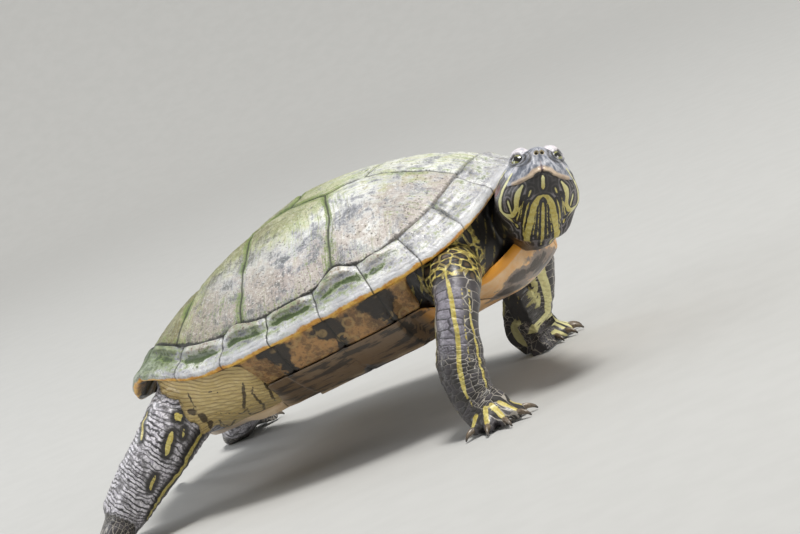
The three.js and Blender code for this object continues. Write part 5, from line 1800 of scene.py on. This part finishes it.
def makeEye(name, side):
    # A ball about the gaze, with a low swelling over the iris.
    middle, gaze, behind, rise = eyeFrame(side)
    rings = np.linspace(0.01, np.pi - 0.01, eyes["rings"])
    polar, turn = np.meshgrid(rings, turns(eyes["sides"]), indexing="ij")
    radius = head["eyeRadius"] * (0.985 + eyes["bulge"] * bell(polar, 0, eyes["bulgeSpread"]))
    level, height = np.sin(polar) * np.cos(turn), np.sin(polar) * np.sin(turn)
    way = gaze * np.cos(polar)[..., None] + behind * level[..., None] + rise * height[..., None]
    points, faces = closedTube(middle + way * radius[..., None])
    values = {"fromGaze": np.concatenate([np.degrees(polar).ravel(), [0, 180]])}
    values["iris"] = np.vstack([together(level, height, 0).reshape(-1, 3), np.zeros((2, 3))])
    return meshFrom(name, points, faces, values)


def eyeFinish():
    # A black pupil, a golden-green iris with fine spokes crossed by a dark bar, and a dark ring round it.
    f = Finish("eye", eyes, Roughness=0.12, Coat_Weight=1, Coat_Roughness=0.02, Specular_IOR_Level=0.6)
    spot, turn = f.value("iris", vector=True), f.value("fromGaze")
    spokes = f.noise(spot, 16, 4, 0.7)
    iris = f.mix(f.step(spokes, 0.35, 0.62), "green", "gold")
    bar = f.sum("ABSOLUTE", f.split(spot)[1]) + (spokes - 0.5) * 0.16
    iris = f.over(iris, "dark", bar, 0.34, 0.25)
    colour = f.mix(f.step(turn, eyes["pupil"] + 1, eyes["pupil"] - 1), iris, "dark")
    colour = f.over(colour, "dark", turn, eyes["iris"] - 5, eyes["iris"] + 1)
    colour = f.over(colour, "white", turn, eyes["iris"] + 8, eyes["iris"] + 16)
    return f.wear(colour, 0.12)


eyeMaterial = eyeFinish()
placePiece("left_eye", makeEye("left_eye", 1), eyeMaterial, "eye", "eye_left")
placePiece("right_eye", makeEye("right_eye", -1), eyeMaterial, "eye", "eye_right")


claws = {
    "sides": 20, "clear": 0.05,
    "out": (-2, 0.45, 3.1, 5.4, 6.5), "height": (3.0, 3.35, 3.1, 2.0, 0.85),  # of each station past the toe
    "radius": (1.4375, 1.375, 1.075, 0.6875, 0.375),
    "brown": (0.10, 0.075, 0.05), "pale": (0.20, 0.15, 0.10), "dark": (0.03, 0.024, 0.02),
}


def clawRings(limb, tip):
    # A tapering tube that leaves the toe forwards and bends down to a blunt point.
    x, y = limb["foot"][1][:2]
    way = unit(np.array([tip[0] - x, tip[1] - y]))
    stations = [(tip[0] + way[0] * out, tip[1] + way[1] * out, height, radius, radius * 1.12)
                for out, height, radius in zip(claws["out"], claws["height"], claws["radius"])]
    return tubeRings(stations, (way[1], -way[0], 0), sides=claws["sides"], steps=6, caps=4)


def makeClaws(name, limb):
    # One claw for each toe, just clear of the floor, with its share of the way to the tip at each point.
    solids, share = [], []
    for tip in limb["toes"]:
        rings = clawRings(limb, tip)
        p, groups = closedTube(rings)
        p[:, 2] = np.maximum(p[:, 2], claws["clear"])
        solids.append((p, groups))
        along = np.repeat(np.linspace(0, 1, rings.shape[0]), rings.shape[1])
        share.append(np.concatenate([along, [0, 1]]))
    return meshFrom(name, *joinSolids(solids), {"along": np.concatenate(share)})


def clawFinish():
    # Brown horn that darkens to the tip, with faint streaks along it.
    f = Finish("clawHorn", claws, Roughness=0.32, Coat_Weight=0.3, Coat_Roughness=0.2)
    streak = f.noise(f.place(), 700, 4, 0.6)
    horn = f.mix(f.step(streak, 0.35, 0.65), "brown", "pale")
    colour = f.mix(f.step(f.value("along"), 0.45, 0.95), horn, "dark")
    return f.wear(colour, f.step(streak, 0.3, 0.7, 0.28, 0.42), f.bump(streak, 0.12, 0.6))


clawMaterial = clawFinish()
for limb in limbs.values():
    name = limb["node"] + "_claws"
    nodes = [limb["node"] + "_claw_" + str(k + 1) for k in range(len(limb["toes"]))]
    placePiece(name, makeClaws(name, limb), clawMaterial, "claw", *nodes)


stage = {
    "flat": 2.2, "rise": 2.6, "reach": 5.0,  # metres: the floor's flat middle, then its walls
    "sink": 0.0002, "sides": 96,
    "colour": (0.44, 0.44, 0.43), "speckle": (0.455, 0.455, 0.445),
}
lights = {  # place in metres from the middle of the shell, size, power, colour
    "sky": ((0.35, 0.1, 1.4), 0.6, 6, (1.0, 0.985, 0.95)),
    "window": ((-1.15, -0.6, 0.62), 0.8, 6, (0.97, 0.98, 1.0)),
    "rear": ((-1.2, 0.6, 0.9), 0.7, 3.6, (0.93, 0.97, 1.0)),
    "bounce": ((1.15, -0.2, 0.28), 0.5, 3.4, (1.0, 0.97, 0.92)),
}
sun = {"from": (0.32, -0.05, 0.95), "spread": 14, "strength": 2.5, "colour": (1.0, 0.98, 0.94)}
room = {"colour": (0.93, 0.96, 1.0), "strength": 0.3}
camera = {
    "place": (519.7, -1173.0, 221.4),  # millimetres over the floor
    "right": (0.8704, 0.3112, -0.3816), "up": (0.3131, 0.2483, 0.9167), "back": (0.3800, -0.9173, 0.1187),
    "lens": 120.93, "sensor": 36, "near": 0.02, "far": 30,
}


def makeStage():
    # A round floor whose rim sweeps up: height is a smooth step of the distance.
    radius = np.concatenate([np.linspace(0.02, stage["flat"], 12),
                             np.linspace(stage["flat"] + 0.1, stage["reach"], 24)])
    r, a = np.meshgrid(radius, turns(stage["sides"]), indexing="ij")
    z = stage["rise"] * ease(stage["flat"], stage["reach"], r) - stage["sink"]
    points = together(r * np.cos(a), r * np.sin(a), z).reshape(-1, 3)
    points = np.vstack([points, [0, 0, -stage["sink"]]])
    faces = gridFaces(*r.shape, around=True)[:, ::-1].tolist()
    faces += fanFaces(np.arange(stage["sides"]), len(points) - 1).tolist()
    mesh = bpy.data.meshes.new("floor")
    mesh.from_pydata(points.tolist(), [], faces)
    mesh.polygons.foreach_set("use_smooth", np.full(len(faces), True))
    floor = putInScene("floor", mesh)
    f = Finish("paleFloor", stage, Roughness=0.7)
    grain = f.noise(f.place(), 60, 3)
    mesh.materials.append(f.wear(f.mix(f.step(grain, 0.3, 0.7), "colour", "speckle")))


def makeLights():
    # Round lamps that face the shell's middle, a soft sun and a pale room.
    aim = Vector(onFloor((0, 0, 0)) * metres)
    for name, (place, size, power, colour) in lights.items():
        lamp = bpy.data.lights.new(name, "AREA")
        lamp.shape = "DISK"
        lamp.size = size
        lamp.energy = power
        lamp.color = colour
        holder = putInScene(name, lamp)
        holder.location = aim + Vector(place)
        holder.rotation_euler = (aim - holder.location).to_track_quat("-Z", "Y").to_euler()
    lamp = bpy.data.lights.new("sun", "SUN")
    lamp.energy = sun["strength"]
    lamp.angle = math.radians(sun["spread"])
    lamp.color = sun["colour"]
    holder = putInScene("sun", lamp)
    holder.rotation_euler = (-Vector(sun["from"])).to_track_quat("-Z", "Y").to_euler()
    world = bpy.data.worlds.new("softRoom")
    world.use_nodes = True
    backdrop = world.node_tree.nodes["Background"].inputs
    backdrop["Color"].default_value = (*room["colour"], 1)
    backdrop["Strength"].default_value = room["strength"]
    bpy.context.scene.world = world
    bpy.context.scene.view_settings.view_transform = "Standard"


def makeCamera():
    # Its axes and place are given over the floor.
    lens = bpy.data.cameras.new("camera")
    lens.lens = camera["lens"]
    lens.sensor_width = camera["sensor"]
    lens.clip_start = camera["near"]
    lens.clip_end = camera["far"]
    holder = putInScene("camera", lens)
    axes = Matrix([unit(np.array(camera[key])) for key in ("right", "up", "back")]).transposed()
    place = Vector((np.array(camera["place"]) - frameShift) * metres)
    holder.matrix_world = Matrix.Translation(place) @ axes.to_4x4()
    bpy.context.scene.camera = holder


makeStage()
makeLights()
makeCamera()
